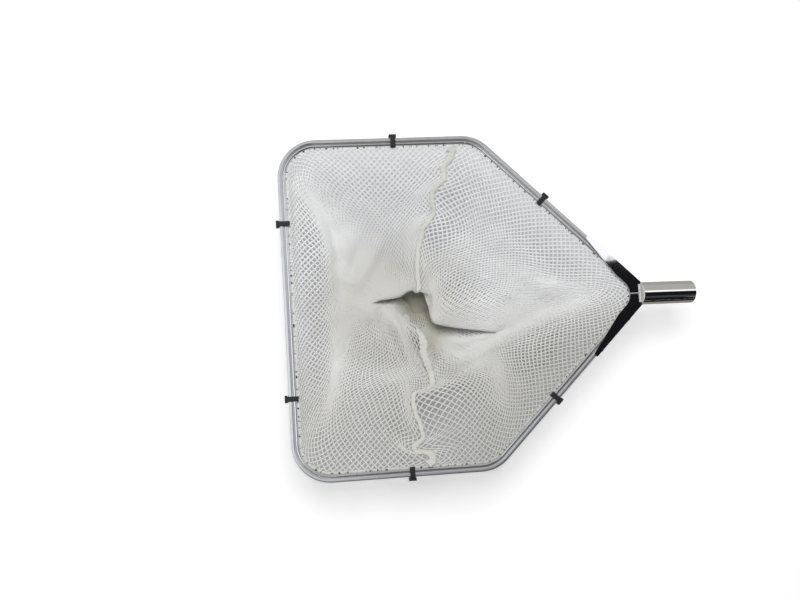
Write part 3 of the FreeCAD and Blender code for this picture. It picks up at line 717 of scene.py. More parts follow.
def woven_tape(clean, cream_and_shade, ribs, gap_shadow_scale=0.0):
    """Tape: crosswise ribs and a soft nap, creamier patches at random, painted shade in the ribs'
    hollows and towards the left bars, and painted shadow in dark gaps beside the bar.
    """

    def paint(layout, place):
        along = layout.node("ShaderNodeAttribute", {"attribute_name": "along"}).of("Fac")
        rib = layout.math("SINE", along * (2 * math.pi * ribs))
        nap = layout.noise(place, 1500.0, 3.0, 0.6)
        patch = layout.noise(place, 60.0, 3.0, 0.6)
        tone = layout.mix(layout.clamp((patch - 0.35) * 2.0), clean, cream_and_shade)
        parts = layout.node("ShaderNodeSeparateXYZ", sockets={"Vector": place})
        # Painted shade: the tape darker towards the left bars
        tone = layout.mix(left_shade(layout, parts), tone, toned(cream_and_shade, 0.85))
        # Painted shade in the hollows between the ribs
        rib_hollow_shade = layout.clamp(0.5 - rib * 0.5)
        shade = layout.mix(rib_hollow_shade * 0.35, tone, toned(cream_and_shade, 0.82))
        if gap_shadow_scale:
            across = layout.node("ShaderNodeAttribute", {"attribute_name": "across"}).of("Fac")
            line = layout.node("ShaderNodeCombineXYZ", sockets={"X": along})
            # Painted shadow: dark gaps between the hem's gathers, by the bar
            gap = layout.clamp((layout.noise(line, gap_shadow_scale, 2.0, 0.7) - 0.53) * 18.0)
            by_bar = layout.clamp((0.8 - across) * 6.0)
            shade = layout.mix(gap * by_bar, shade, (0.03, 0.03, 0.032))
        return {
            "Base Color": shade,
            "Roughness": layout.clamp(0.78 + nap * 0.15),
            "Sheen Weight": 0.2,
            "Normal": bump(layout, rib * 0.5 + nap, 0.00018, 0.5),
        }

    return paint


# Node trees that repeat a shape or follow a line


def group(name, inputs):
    """An empty node tree for geometry with named inputs: (name, type, default)."""
    tree = bpy.data.node_groups.new(name, "GeometryNodeTree")
    tree.interface.new_socket("Geometry", in_out="INPUT", socket_type="NodeSocketGeometry")
    for label, kind, default in inputs:
        socket = tree.interface.new_socket(label, in_out="INPUT", socket_type=kind)
        if default is not None:
            socket.default_value = default
    tree.interface.new_socket("Geometry", in_out="OUTPUT", socket_type="NodeSocketGeometry")
    layout = Layout(tree)
    return tree, layout, layout.node("NodeGroupInput")


def close_group(layout, geometry, given):
    """The last three nodes of every tree: realize, set the material, and the output."""
    real = layout.node("GeometryNodeRealizeInstances", sockets={"Geometry": geometry})
    done = layout.node(
        "GeometryNodeSetMaterial", sockets={"Geometry": real, "Material": given.of("Material")}
    )
    layout.node("NodeGroupOutput", sockets={0: done})


def threads_tree():
    """Turns lines into round threads with closed ends."""
    tree, layout, given = group(
        "threads",
        [
            ("Thread radius", "NodeSocketFloat", 0.001),
            ("Sides", "NodeSocketInt", 4),
            ("Material", "NodeSocketMaterial", None),
        ],
    )
    line = layout.node("GeometryNodeMeshToCurve", sockets={"Mesh": given})
    ring = layout.node(
        "GeometryNodeCurvePrimitiveCircle",
        sockets={"Resolution": given.of("Sides"), "Radius": given.of("Thread radius")},
    )
    tube = layout.node(
        "GeometryNodeCurveToMesh", sockets={"Curve": line, "Profile Curve": ring, "Fill Caps": True}
    )
    close_group(layout, tube, given)
    return tree


def placed_tree():
    """Sets a copy of a master piece on every point, turned to the point's two directions."""
    tree, layout, given = group(
        "placed copies",
        [
            ("Master", "NodeSocketObject", None),
            ("Scale", "NodeSocketFloat", 1.0),
            ("Scale spread", "NodeSocketFloat", 0.0),
            ("Seed", "NodeSocketInt", 3),
            ("Material", "NodeSocketMaterial", None),
        ],
    )

    def direction(name):
        return layout.node(
            "GeometryNodeInputNamedAttribute", {"data_type": "FLOAT_VECTOR"}, {"Name": name}
        )

    upright = layout.node(
        "FunctionNodeAlignRotationToVector", {"axis": "Z"}, {"Vector": direction("up")}
    )
    turned = layout.node(
        "FunctionNodeAlignRotationToVector",
        {"axis": "X", "pivot_axis": "Z"},
        {"Rotation": upright, "Vector": direction("ahead")},
    )
    spread = given.of("Scale spread")
    size = layout.node(
        "FunctionNodeRandomValue",
        {"data_type": "FLOAT"},
        {
            "Min_001": given.of("Scale") - spread,
            "Max_001": given.of("Scale") + spread,
            "Seed": given.of("Seed"),
        },
    ).of("Value_001")
    master = layout.node("GeometryNodeObjectInfo", sockets={"Object": given.of("Master")})
    copies = layout.node(
        "GeometryNodeInstanceOnPoints",
        sockets={
            "Points": given,
            "Instance": master.of("Geometry"),
            "Rotation": turned,
            "Scale": size,
        },
    )
    close_group(layout, copies, given)
    return tree


def mesh_piece(name, points, faces=(), edges=(), smooth=True):
    """An object from points in metres in the row frame."""
    mesh = bpy.data.meshes.new(name)
    mesh.from_pydata([tuple(p) for p in np.asarray(points, float)], list(edges), list(faces))
    mesh.validate()
    mesh.update()
    if smooth and len(faces):
        mesh.shade_smooth()
    piece = bpy.data.objects.new(name, mesh)
    bpy.context.scene.collection.objects.link(piece)
    return piece


def grown(piece, tree, **inputs):
    """Runs a node tree on a piece and keeps what it makes as the piece's plain mesh."""
    modifier = piece.modifiers.new(tree.name, "NODES")
    modifier.node_group = tree
    for item in tree.interface.items_tree:
        key = item.name.replace(" ", "_").lower()
        if item.item_type == "SOCKET" and item.in_out == "INPUT" and key in inputs:
            modifier[item.identifier] = inputs[key]
    depsgraph = bpy.context.evaluated_depsgraph_get()
    result = bpy.data.meshes.new_from_object(piece.evaluated_get(depsgraph), depsgraph=depsgraph)
    piece.modifiers.remove(modifier)
    lines = piece.data
    piece.data = result
    bpy.data.meshes.remove(lines)
    result.name = piece.name
    if not result.polygons:
        raise RuntimeError(f"{piece.name} came out empty")
    return piece


def set_vectors(piece, name, values):
    """Keeps a vector on every point of a piece, for a node tree."""
    layer = piece.data.attributes.new(name, "FLOAT_VECTOR", "POINT")
    layer.data.foreach_set("vector", np.asarray(values, np.float32).ravel())


def set_value(piece, name, values):
    """Keeps a number on every point of a piece, for a material."""
    layer = piece.data.attributes.new(name, "FLOAT", "POINT")
    layer.data.foreach_set("value", np.asarray(values, np.float32))


def copies_of(master, name, centres, ahead, up, material, spread=0.0):
    """One piece with a copy of the master at every centre; the master itself is removed."""
    piece = mesh_piece(name, centres)
    set_vectors(piece, "ahead", ahead)
    set_vectors(piece, "up", up)
    grown(piece, placed_tree(), master=master, material=material, scale_spread=spread)
    mesh = master.data
    bpy.data.objects.remove(master)
    bpy.data.meshes.remove(mesh)
    return piece


def sweep(centres, side, up, section, closed=False):
    """Points, faces and lengths of a section of (sideways, upwards) points swept along a line."""
    centres, side, up = (np.asarray(v, float) for v in (centres, side, up))
    section = np.asarray(section, float)
    if section.ndim == 2:
        section = np.repeat(section[None], len(centres), 0)
    rings = centres[:, None] + side[:, None] * section[..., :1] + up[:, None] * section[..., 1:]
    count, around = section.shape[:2]
    faces = []
    for i in range(count if closed else count - 1):
        a, b = i * around, (i + 1) % count * around
        faces += [(a + k, a + (k + 1) % around, b + (k + 1) % around, b + k) for k in range(around)]
    if not closed:
        faces.append(tuple(range(around))[::-1])
        faces.append(tuple((count - 1) * around + k for k in range(around)))
    return rings.reshape(-1, 3), faces, np.repeat(path_length(centres), around)


def joined(name, parts, smooth=True):
    """One object from several (points, faces, lengths), in the drawing's millimetres."""
    points, faces, along = [], [], []
    for part_points, part_faces, part_along in parts:
        shift = len(points)
        points += [tuple(p) for p in part_points]
        faces += [tuple(k + shift for k in face) for face in part_faces]
        along += list(part_along)
    piece = mesh_piece(name, to_row(points), faces, smooth=smooth)
    face_outwards(piece)
    set_value(piece, "along", np.array(along) * MM)
    return piece


def face_outwards(piece):
    """Turns a closed mesh the right way out, by the sign of its volume."""
    mesh = piece.data
    mesh.calc_loop_triangles()
    co = np.array([v.co for v in mesh.vertices])
    tri = np.array([t.vertices for t in mesh.loop_triangles])
    a, b, c = co[tri[:, 0]], co[tri[:, 1]], co[tri[:, 2]]
    if np.einsum("ij,ij->i", a, np.cross(b, c)).sum() < 0:
        mesh.flip_normals()


def use(piece, material, slot, *nodes):
    """Gives a finished piece its material and its body, and hides the nodes it stands for; the slot
    is not used.
    """
    piece.data.materials.clear()
    piece.data.materials.append(material)
    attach(piece, "root")
    if nodes:
        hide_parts(*nodes)


def dress(material, *nodes):
    """Gives CAD nodes a material on every slot."""
    for name in nodes:
        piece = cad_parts[name]
        if not piece.material_slots:
            piece.data.materials.append(material)
        for slot in piece.material_slots:
            slot.material = material


def taper_place(side, distance):
    """A place on a tapering bar's outer edge, by its distance from the apex, and the way in."""
    away = unit([-TAPER_LENGTH, side * HALF_WIDTH])
    inwards = unit([-HALF_WIDTH, -side * TAPER_LENGTH])
    return np.array([APEX_X, 0.0]) + away * distance, inwards


def revolved(profile, steps):
    """Points and faces of a closed profile of (radius, height) turned round Z."""
    profile = np.asarray(profile, float)
    points, rings = [], []
    for radius, height in profile:
        if radius == 0:
            rings.append([len(points)] * steps)
            points.append((0.0, 0.0, height))
            continue
        rings.append(list(range(len(points), len(points) + steps)))
        angles = np.arange(steps) * 2 * math.pi / steps
        points += [(radius * math.cos(a), radius * math.sin(a), height) for a in angles]
    faces = []
    for low, high in zip(rings, rings[1:]):
        for k in range(steps):
            face = [low[k], low[(k + 1) % steps], high[(k + 1) % steps], high[k]]
            face = list(dict.fromkeys(face))
            if len(face) > 2:
                faces.append(tuple(face))
    return points, faces


class NetSizes(bpy.types.PropertyGroup):
    thread_radius: FloatProperty(
        name="Thread radius", description="Radius of the net's threads", default=0.00142,
        min=0.0003, max=0.003, subtype="DISTANCE", unit="LENGTH",
    )
    thread_sides: IntProperty(
        name="Thread sides", description="Sides of a thread's section", default=4, min=3, max=12
    )
    wrinkle: FloatProperty(
        name="Wrinkles", description="Height of the waves in the slack cloth", default=0.0016,
        min=0.0, max=0.01, subtype="DISTANCE", unit="LENGTH",
    )
    unevenness: FloatProperty(
        name="Unevenness", description="How far a knot strays from its place", default=0.00022,
        min=0.0, max=0.002, subtype="DISTANCE", unit="LENGTH",
    )
    seed: IntProperty(name="Seed", description="Seed of everything uneven", default=11)


class TrimSizes(bpy.types.PropertyGroup):
    binding_half_width: FloatProperty(
        name="Binding half width", description="Half the width of the binding over the seams",
        default=0.0036, min=0.001, max=0.01, subtype="DISTANCE", unit="LENGTH",
    )
    binding_half_height: FloatProperty(
        name="Binding half height", description="Half the thickness of the binding",
        default=0.0014, min=0.0005, max=0.005, subtype="DISTANCE", unit="LENGTH",
    )
    hem_gather: FloatProperty(
        name="Hem gathers", description="Height of the gathers in the hem tape", default=0.0007,
        min=0.0, max=0.003, subtype="DISTANCE", unit="LENGTH",
    )
    stitch_gap: FloatProperty(
        name="Stitch gap", description="Distance between the hem's stitches", default=0.0042,
        min=0.001, max=0.02, subtype="DISTANCE", unit="LENGTH",
    )


class Finishes(bpy.types.PropertyGroup):
    aluminium: FloatVectorProperty(
        name="Aluminium", description="Colour of the frame", subtype="COLOR", size=3,
        default=(0.74, 0.75, 0.77), min=0.0, max=1.0,
    )
    steel: FloatVectorProperty(
        name="Polished steel", description="Colour of the yoke and the socket", subtype="COLOR",
        size=3, default=(0.8, 0.8, 0.81), min=0.0, max=1.0,
    )
    weld: FloatVectorProperty(
        name="Weld", description="Colour of the weld beads", subtype="COLOR", size=3,
        default=(0.72, 0.72, 0.72), min=0.0, max=1.0,
    )
    net: FloatVectorProperty(
        name="Net", description="Colour of clean thread", subtype="COLOR", size=3,
        default=(0.9, 0.905, 0.91), min=0.0, max=1.0,
    )
    # The creamier colour of the net's random patches, and the base of its painted shade
    net_cream_and_shade: FloatVectorProperty(
        name="Net, creamy", description="Colour of the creamier patches", subtype="COLOR", size=3,
        default=(0.7, 0.695, 0.66), min=0.0, max=1.0,
    )
    binding: FloatVectorProperty(
        name="Binding", description="Colour of the seams' binding", subtype="COLOR", size=3,
        default=(0.76, 0.76, 0.715), min=0.0, max=1.0,
    )
    # The creamier colour of the binding's random patches, and the base of its painted shade
    binding_cream_and_shade: FloatVectorProperty(
        name="Binding, creamy", description="Colour of the binding's creamier patches",
        subtype="COLOR", size=3, default=(0.74, 0.735, 0.685), min=0.0, max=1.0,
    )
    nylon: FloatVectorProperty(
        name="Tie", description="Colour of the cable ties", subtype="COLOR", size=3,
        default=(0.016, 0.016, 0.018), min=0.0, max=1.0,
    )


class StageSizes(bpy.types.PropertyGroup):
    sky: FloatProperty(
        name="Sky", description="Strength of the even light", default=0.45, min=0.0, max=2.0
    )
    lamp: FloatProperty(
        name="Lamp", description="Power of the soft lamp overhead", default=40.0, min=0.0,
        max=500.0, unit="POWER",
    )
    floor: FloatProperty(
        name="Floor", description="Width of the floor", default=9.0, min=2.0, max=50.0,
        subtype="DISTANCE", unit="LENGTH",
    )


# The camera's place, from the row frame's origin, and its three axes
CAMERA_AT = (-0.34478, -0.11248, 1.62435)
CAMERA_AXES = (
    (0.99027, -0.05978, 0.12566),
    (0.04914, 0.99507, 0.08613),
    (-0.13019, -0.07912, 0.98833),
)
CAMERA_LENS = 45.0
SENSOR_WIDTH = 36.0

# The floor: its white, its two tones of painted shadow under the net, by the right bars and by the
# left ones, and its glow round the net and under it, painted light for the camera and in
# reflections
FLOOR_WHITE = (0.99, 0.99, 0.995)
FLOOR_SHADED = ((0.65, 0.655, 0.69), (0.5, 0.505, 0.52))
FLOOR_GLOW = (0.28, 0.08)
# The shaded part's edge: inside the frame's outline in millimetres, then in metres on the floor
# the radius of its two front corners and the width over which it fades
SHADE_INSET = 6.0
SHADE_CORNER = 0.056
SHADE_FADE = 0.02

# The soft lamp: its place, its tilt in degrees and its two widths
LAMP_AT = (-0.4, 0.8, 2.4)
LAMP_TILT = -18.0
LAMP_SIZE = (1.6, 1.4)


def seen_white(layout):
    """1 for the rays that show the background: the camera's, and those by metal and glass."""
    path = layout.node("ShaderNodeLightPath")
    return layout.clamp(path + path.of("Is Glossy Ray") + path.of("Is Transmission Ray"))


def under_net(layout):
    """The mask of the floor's painted shadow: 1 on the floor where the net lies over it, 0 beyond a
    soft edge under the frame's bars.
    """
    place = layout.node("ShaderNodeTexCoord").of("Object")
    parts = layout.node("ShaderNodeSeparateXYZ", sockets={"Vector": place})
    grow = CAMERA_AT[2] / (CAMERA_AT[2] - DRAWING_ORIGIN[2])
    centre = np.array(CAMERA_AT[:2])
    plan = to_row([(*corner, 0.0) for corner in house(SHADE_INSET)])[:, :2]
    corners = centre + (plan - centre) * grow
    inside = []
    for first, last in zip(corners, np.roll(corners, -1, 0)):
        ahead = unit(last - first)
        start = float(first @ np.array((-ahead[1], ahead[0])))
        inside.append(parts.of("Y") * float(ahead[0]) - parts.of("X") * float(ahead[1]) - start)
    side = layout.math("MINIMUM", inside[1], inside[3])
    near = [layout.math("MAXIMUM", SHADE_CORNER - distance, 0.0) for distance in (side, inside[2])]
    rounded = SHADE_CORNER - layout.math("SQRT", near[0] * near[0] + near[1] * near[1])
    depth = layout.math("MINIMUM", rounded, layout.math("MINIMUM", inside[0], inside[4]))
    return layout.clamp(depth / SHADE_FADE + 0.5)


def card(name, corners, tone):
    """A flat glowing card beside the stage that only shiny surfaces show: a painted reflection that
    lights nothing and casts no shadow.
    """
    piece = mesh_piece(name, corners, [(0, 1, 2, 3)], smooth=False)
    material = bpy.data.materials.new(name)
    material.use_nodes = True
    layout = Layout(material.node_tree)
    glow = layout.node("ShaderNodeEmission", sockets={"Color": (*tone, 1.0), "Strength": 1.0})
    layout.node("ShaderNodeOutputMaterial", sockets={"Surface": glow})
    piece.data.materials.append(material)
    piece.visible_camera = False
    piece.visible_diffuse = False
    piece.visible_shadow = False
    piece.visible_transmission = False


def slanted(x0, x1, y0, z0, y1, z1):
    """Corners of a flat card between two lines along X."""
    return [(x0, y0, z0), (x1, y0, z0), (x1, y1, z1), (x0, y1, z1)]


# Painted reflections, what the metal mirrors: the card's name, its corners and its tone
CARDS = [
    ("overhead card", slanted(0.42, 1.6, -0.9, 1.2, 0.18, 1.2), (0.01, 0.01, 0.012)),
    ("yoke light card", slanted(0.42, 1.6, 0.18, 1.2, 0.48, 1.2), (1.2, 1.2, 1.23)),
    ("front light card", slanted(-1.3, -0.22, -0.7, 1.92, 0.5, 1.92), (1.45, 1.45, 1.47)),
    ("middle card", slanted(-0.2, 0.5, -0.7, 1.9, 0.45, 1.9), (0.22, 0.22, 0.23)),
    ("right card", slanted(-0.2, 0.45, 0.45, 1.9, 1.5, 1.2), (0.5, 0.495, 0.48)),
    ("right far card", slanted(-2.6, 2.6, 1.3, 1.5, 2.6, 0.05), (0.5, 0.485, 0.455)),
    ("right handle card", slanted(0.45, 2.6, 0.85, 1.9, 1.5, 1.2), (0.5, 0.485, 0.455)),
    ("left upper card", slanted(-0.2, 2.6, -0.7, 1.9, -1.9, 1.15), (0.06, 0.06, 0.065)),
    ("left far card", slanted(-2.6, -0.2, -0.9, 1.5, -1.9, 1.15), (0.08, 0.08, 0.085)),
    ("left lower card", slanted(-2.6, 0.9, -1.9, 1.15, -2.4, 0.05), (0.2, 0.185, 0.165)),
    ("left handle card", slanted(0.9, 2.0, -1.9, 1.15, -2.4, 0.05), (0.01, 0.01, 0.012)),
    ("left end card", slanted(2.0, 2.6, -1.9, 1.15, -2.4, 0.05), (0.2, 0.185, 0.165)),
    ("right low card", slanted(0.24, 2.6, 0.0, 0.004, 2.6, 0.004), (0.42, 0.4, 0.35)),
    ("left low card", slanted(0.24, 2.6, -2.6, 0.004, -0.25, 0.004), (0.02, 0.02, 0.02)),
    ("left near card", slanted(0.24, 2.6, -0.25, 0.004, 0.0, 0.004), (0.3, 0.28, 0.25)),
]


class SKIMMER_OT_stage(bpy.types.Operator):
    """Sets up the camera, the pale floor and the soft light"""

    bl_idname = "skimmer.stage"
    bl_label = "Stage"

    def execute(self, context):
        scene = context.scene
        sizes = scene.skimmer_stage
        data = bpy.data.cameras.new("camera")
        data.lens = CAMERA_LENS
        data.sensor_width = SENSOR_WIDTH
        data.clip_end = 50.0
        camera = bpy.data.objects.new("camera", data)
        turn = Matrix(CAMERA_AXES).transposed().to_4x4()
        camera.matrix_world = Matrix.Translation(CAMERA_AT) @ turn
        scene.collection.objects.link(camera)
        scene.camera = camera
        scene.view_settings.view_transform = "Standard"

        half = sizes.floor / 2
        floor = mesh_piece(
            "floor", [(-half, -half, 0), (half, -half, 0), (half, half, 0), (-half, half, 0)],
            [(0, 1, 2, 3)], smooth=False,
        )
        paper = bpy.data.materials.new("pale floor")
        paper.use_nodes = True
        layout = Layout(paper.node_tree)
        covered = under_net(layout)
        place = layout.node("ShaderNodeTexCoord").of("Object")
        parts = layout.node("ShaderNodeSeparateXYZ", sockets={"Vector": place})
        # Painted shadow: the floor darker under the net, and darker towards the left bars
        shaded = layout.mix(left_shade(layout, parts), *FLOOR_SHADED)
        tone = layout.mix(covered, FLOOR_WHITE, shaded)
        dull = layout.node("ShaderNodeBsdfDiffuse", sockets={"Color": tone})
        # Painted light: a glow seen by the camera and in reflections, weaker under the net
        strength = FLOOR_GLOW[0] - covered * (FLOOR_GLOW[0] - FLOOR_GLOW[1])
        glow = layout.node("ShaderNodeEmission", sockets={"Strength": strength})
        lit = layout.node("ShaderNodeAddShader", sockets={0: dull, 1: glow})
        shown = layout.node(
            "ShaderNodeMixShader", sockets={"Fac": seen_white(layout), 1: dull, 2: lit}
        )
        layout.node("ShaderNodeOutputMaterial", sockets={"Surface": shown})
        floor.data.materials.append(paper)

        world = bpy.data.worlds.new("studio")
        scene.world = world
        world.use_nodes = True
        layout = Layout(world.node_tree)
        strength = sizes.sky + seen_white(layout) * (1.0 - sizes.sky)
        sky = layout.node("ShaderNodeBackground", sockets={"Strength": strength})
        layout.node("ShaderNodeOutputWorld", sockets={"Surface": sky})

        light = bpy.data.lights.new("soft lamp", "AREA")
        light.shape = "RECTANGLE"
        light.size, light.size_y = LAMP_SIZE
        light.energy = sizes.lamp
        lamp = bpy.data.objects.new("soft lamp", light)
        tilt = Matrix.Rotation(math.radians(LAMP_TILT), 4, "X")
        lamp.matrix_world = Matrix.Translation(LAMP_AT) @ tilt
        lamp.visible_camera = False
        lamp.visible_glossy = False
        scene.collection.objects.link(lamp)

        for name, corners, tone in CARDS:
            card(name, corners, tone)
        return {"FINISHED"}


class SKIMMER_OT_metalwork(bpy.types.Operator):
    """Finishes the frame, the yoke, the socket and the cord in the hem"""

    bl_idname = "skimmer.metalwork"
    bl_label = "Frame, yoke and socket"

    def execute(self, context):
        finishes = context.scene.skimmer_finishes
        dress(finish("frame_aluminium", drawn_aluminium(finishes.aluminium)), "frame_tube")
        dress(
            finish("polished_steel", mirror_steel(finishes.steel)),
            "yoke_arm_right", "yoke_arm_left", "handle_socket", "socket_end_plate",
        )
        dress(finish("hem_cord_white", knitted_thread(finishes.net, finishes.net_cream_and_shade)), "hem_cord")
        return {"FINISHED"}


class SKIMMER_OT_net(bpy.types.Operator):
    """Makes the two panels of the slack net bag, thread by thread"""

    bl_idname = "skimmer.net"
    bl_label = "Net bag"

    def execute(self, context):
        sizes = context.scene.skimmer_net
        finishes = context.scene.skimmer_finishes
        white = finish("net_white", knitted_thread(finishes.net, finishes.net_cream_and_shade))
        tree = threads_tree()
        bag = make_bag(sizes)
        middle, end = 2 * bag.front_columns, 2 * bag.columns
        for name, first, last, width in (
            ("net_front", 0, middle, bag.front),
            ("net_rear", middle, end, bag.rear),
        ):
            points, edges = bag.thread_lines(first, last)
            piece = mesh_piece(name, to_row(points), edges=edges)
            grown(
                piece, tree, thread_radius=sizes.thread_radius, sides=sizes.thread_sides,
                material=white,
            )
            face_outwards(piece)
            piece.data.shade_smooth()
            use(piece, white, "net_white", name.replace("net_", "net_panel_"))
            width * MM
        return {"FINISHED"}


def make_bag(sizes):
    """The bag's cloth with its seams, folds and waves."""
    bag = Bag()
    bag.follow_seams()
    bag.fold()
    bag.wrinkle(sizes.wrinkle / MM, sizes.unevenness / MM, sizes.seed)
    return bag


def binding(bag, column, half, rng):
    """The puckered binding over one seam, swept along the cloth's knots, in millimetres."""
    rows = np.arange(0, int(THROAT_DEPTH / ROW) + 5, 2)
    knots = bag.points[rows, column]
    across = bag.points[rows, (column + 2) % bag.columns] - bag.points[rows, column - 2]
    lift = unit(np.cross(np.gradient(knots, axis=0), across))
    lift[lift[:, 2] < 0] *= -1
    line = smooth_line(knots, 1.0)
    s = path_length(line)
    share = s / s[-1]
    knot_share = path_length(knots) / path_length(knots)[-1]
    up = unit(np.stack([np.interp(share, knot_share, lift[:, i]) for i in range(3)], -1))
    tangent = unit(np.gradient(line, axis=0))
    side = unit(np.cross(tangent, up))
    up = unit(np.cross(side, tangent))
    pucker = 2 * math.pi * s / PUCKER_LENGTH + np.cumsum(rng.normal(0, 0.12, len(s)))
    swell = 2 * math.pi * s / SWELL_LENGTH
    flare = 1 + RIM_FLARE * np.clip(1 - s / RIM_FLARE_LENGTH, 0, 1)
    if column:
        flare += THROAT_FLARE * np.clip((share - 0.5) / 0.3, 0, 1)
    width = flare * (1 + 0.1 * np.sin(pucker) + 0.1 * np.sin(swell))
    height = 1 + 0.2 * np.cos(pucker)
    angles = np.arange(10) * 2 * math.pi / 10
    oval = np.stack([np.cos(angles), np.sin(angles)], -1)[None] * half
    drift = np.convolve(rng.normal(0, 1.0, len(s)), np.ones(9) / 9, "same")
    line = line + side * (drift * 0.9)[:, None] + up * (half[1] * 1.2 + BINDING_LIFT)
    return sweep(line, side, up, oval * np.stack([width, height], -1)[:, None])


class SKIMMER_OT_seams(bpy.types.Operator):
    """Makes the puckered binding over the two seams of the bag"""

    bl_idname = "skimmer.seams"
    bl_label = "Seam binding"

    def execute(self, context):
        sizes = context.scene.skimmer_trim
        finishes = context.scene.skimmer_finishes
        cream = finish("seam_binding", woven_tape(finishes.binding, finishes.binding_cream_and_shade, 420.0))
        bag = make_bag(context.scene.skimmer_net)
        rng = np.random.default_rng(context.scene.skimmer_net.seed + 1)
        half = np.array([sizes.binding_half_width, sizes.binding_half_height]) / MM
        parts = [binding(bag, column, half, rng) for column in (0, bag.front_columns)]
        piece = joined("seam_binding", parts)
        use(piece, cream, "seam_binding", "seam_tape")
        return {"FINISHED"}


class Hem:
    """The line on which the hem tape runs round the rim, and the gathers in it."""

    def __init__(self, height, rng):
        outwards = RIM_INSET - HEM_INSET
        outline = Outline(HEM_INSET, RIM_CORNER_RADIUS + outwards, RIM_APEX_RADIUS + outwards)
        self.length = outline.length
        self.s = np.arange(0, outline.length, HEM_STEP)
        flat = np.zeros((len(self.s), 1))
        self.inwards = np.concatenate([outline.inwards(self.s), flat], 1)
        self.centre = np.concatenate([outline.at(self.s), flat], 1)
        turn = 2 * math.pi * self.s / outline.length
        phase = np.zeros(len(self.s))
        for k in range(3, 16):
            size, start = rng.normal(0, 1.2), rng.uniform(0, 6.28)
            phase += size * np.sin(k * turn + start)
        self.lift = height * np.sin(turn * round(outline.length / GATHER_LENGTH) + phase)
        waves = turn * round(outline.length / LIP_WAVE_LENGTH) + 1.7 * phase
        self.lip = HEM_LIP + HEM_LIP_WAVE * np.sin(waves)

    def tape(self):
        """The tape's surface: its section goes from the slot out over the lip and back below."""
        lip, lift = self.lip, self.lift
        profile = [
            (-HEM_ROOT, -HEM_HALF), (0.0, 0.4 * lift - HEM_HALF), (lip, lift - HEM_HALF),
            (lip + 0.35, lift),
            (lip, lift + HEM_HALF), (0.0, 0.4 * lift + HEM_HALF), (-HEM_ROOT, HEM_HALF),
        ]
        pairs = [np.broadcast_arrays(out, up, self.s)[:2] for out, up in profile]
        section = np.stack([np.stack(pair, -1) for pair in pairs], 1)
        up = np.tile([0.0, 0.0, 1.0], (len(self.s), 1))
        return sweep(self.centre, self.inwards, up, section, closed=True)

    def stitches(self, gap):
        """Places and directions of the stitches on the tape's upper and lower face."""
        at = np.arange(0, self.length, gap)
        spots, ahead, ups = [], [], []
        for sign in (1, -1):
            for i in np.interp(at, self.s, np.arange(len(self.s))).astype(int):
                height = 0.7 * self.lift[i] + sign * HEM_HALF
                spots.append(self.centre[i] + self.inwards[i] * STITCH_INSET + (0, 0, height))
                ahead.append(self.inwards[i] + 0.5 * np.cross([0, 0, 1], self.inwards[i]))
                ups.append((0, 0, sign))
        return spots, ahead, ups


def stitch_master():
    """One stitch: a short bent thread with closed ends."""
    line = np.array([(x, 0.0, z) for x, z in STITCH_BEND])
    side = np.tile([0.0, 1.0, 0.0], (len(line), 1))
    up = np.tile([0.0, 0.0, 1.0], (len(line), 1))
    angles = np.arange(5) * 2 * math.pi / 5
    ring = np.stack([np.cos(angles), np.sin(angles)], -1) * STITCH_RADIUS
    points, faces, _ = sweep(line, side, up, ring)
    stitch = mesh_piece("stitch", points * MM, faces)
    face_outwards(stitch)
    return stitch


class SKIMMER_OT_hem(bpy.types.Operator):
    """Makes the gathered hem tape round the rim and its row of stitches"""

    bl_idname = "skimmer.hem"
    bl_label = "Hem tape and stitches"

    def execute(self, context):
        sizes = context.scene.skimmer_trim
        finishes = context.scene.skimmer_finishes
        white = finish("hem_white", woven_tape(finishes.net, finishes.net_cream_and_shade, 700.0, 170.0))
        rng = np.random.default_rng(context.scene.skimmer_net.seed + 2)
        hem = Hem(sizes.hem_gather / MM, rng)
        piece = joined("hem_tape_gathered", [hem.tape()])
        set_value(piece, "across", np.tile([0.0, 0.5, 1.0, 1.0, 1.0, 0.5, 0.0], len(hem.s)))
        use(piece, white, "hem_white", "hem_tape")

        thread = finish("hem_thread", knitted_thread(finishes.net, finishes.net_cream_and_shade))
        spots, ahead, ups = hem.stitches(sizes.stitch_gap / MM)
        piece = copies_of(
            stitch_master(), "hem_stitches", to_row(spots), ahead, ups, thread, spread=0.08
        )
        use(piece, thread, "hem_white")
        return {"FINISHED"}


class SKIMMER_OT_ties(bpy.types.Operator):
    """Finishes the six cable ties"""

    bl_idname = "skimmer.ties"
    bl_label = "Cable ties"

    def execute(self, context):
        finishes = context.scene.skimmer_finishes
        black = finish("tie_black", moulded_nylon(finishes.nylon))
        names = [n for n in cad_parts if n.startswith("tie_")]
        dress(black, *names)
        return {"FINISHED"}


class SKIMMER_OT_welds(bpy.types.Operator):
    """Finishes the weld beads at the yoke's apex and at the socket"""

    bl_idname = "skimmer.welds"
    bl_label = "Weld beads"

    def execute(self, context):
        finishes = context.scene.skimmer_finishes
        bright = finish("weld_metal", weld_metal(finishes.weld))
        dress(bright, "yoke_apex_weld", "socket_weld_beads")
        return {"FINISHED"}


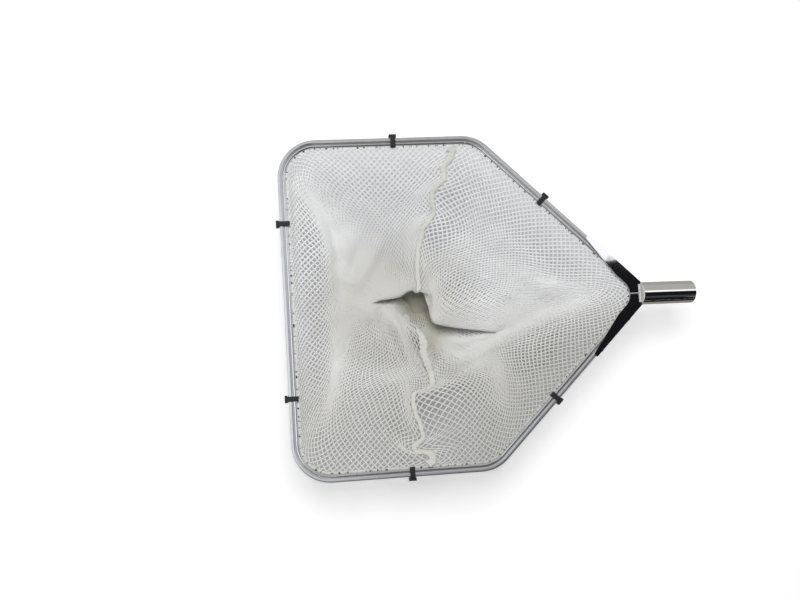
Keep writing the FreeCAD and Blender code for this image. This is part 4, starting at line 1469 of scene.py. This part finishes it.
class SKIMMER_OT_rivets(bpy.types.Operator):
    """Sets the four blind rivets that hold the yoke to the frame"""

    bl_idname = "skimmer.rivets"
    bl_label = "Rivets"

    def execute(self, context):
        finishes = context.scene.skimmer_finishes
        grey = finish("rivet_aluminium", drawn_aluminium(finishes.aluminium))
        points, faces = revolved(RIVET_PROFILE, 24)
        master = mesh_piece("rivet", np.array(points) * MM, faces)
        face_outwards(master)
        spots, ups, aheads = [], [], []
        for side in (1, -1):
            for distance in RIVET_PLACES:
                base, inwards = taper_place(side, distance)
                spots.append((*(base - inwards * YOKE_WALL), 0.0))
                ups.append((*-inwards, 0.0))
                aheads.append((0.0, 0.0, 1.0))
        piece = copies_of(master, "rivets", to_row(spots), aheads, ups, grey)
        nodes = [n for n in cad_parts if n.startswith("rivet_")]
        use(piece, grey, "rivet_aluminium", *nodes)
        return {"FINISHED"}


class SKIMMER_PT_panel(bpy.types.Panel):
    """Lists the steps that dress the net"""

    bl_idname = "SKIMMER_PT_panel"
    bl_label = "Leaf net"
    bl_space_type = "VIEW_3D"
    bl_region_type = "UI"
    bl_category = "Leaf net"

    def draw(self, context):
        column = self.layout.column(align=True)
        for step in STEPS:
            column.operator(step.bl_idname)


STEPS = (
    SKIMMER_OT_stage,
    SKIMMER_OT_metalwork,
    SKIMMER_OT_net,
    SKIMMER_OT_seams,
    SKIMMER_OT_hem,
    SKIMMER_OT_ties,
    SKIMMER_OT_welds,
    SKIMMER_OT_rivets,
)
SETTINGS = {
    "skimmer_net": NetSizes,
    "skimmer_trim": TrimSizes,
    "skimmer_finishes": Finishes,
    "skimmer_stage": StageSizes,
}
CLASSES = (*SETTINGS.values(), *STEPS, SKIMMER_PT_panel)


def register():
    for cls in CLASSES:
        bpy.utils.register_class(cls)
    for name, cls in SETTINGS.items():
        setattr(bpy.types.Scene, name, PointerProperty(type=cls))


def unregister():
    for name in SETTINGS:
        delattr(bpy.types.Scene, name)
    for cls in reversed(CLASSES):
        bpy.utils.unregister_class(cls)


def main():
    """Runs every step in order."""
    register()
    for step in STEPS:
        area, name = step.bl_idname.split(".")
        getattr(getattr(bpy.ops, area), name)()


if __name__ == "__main__":
    main()
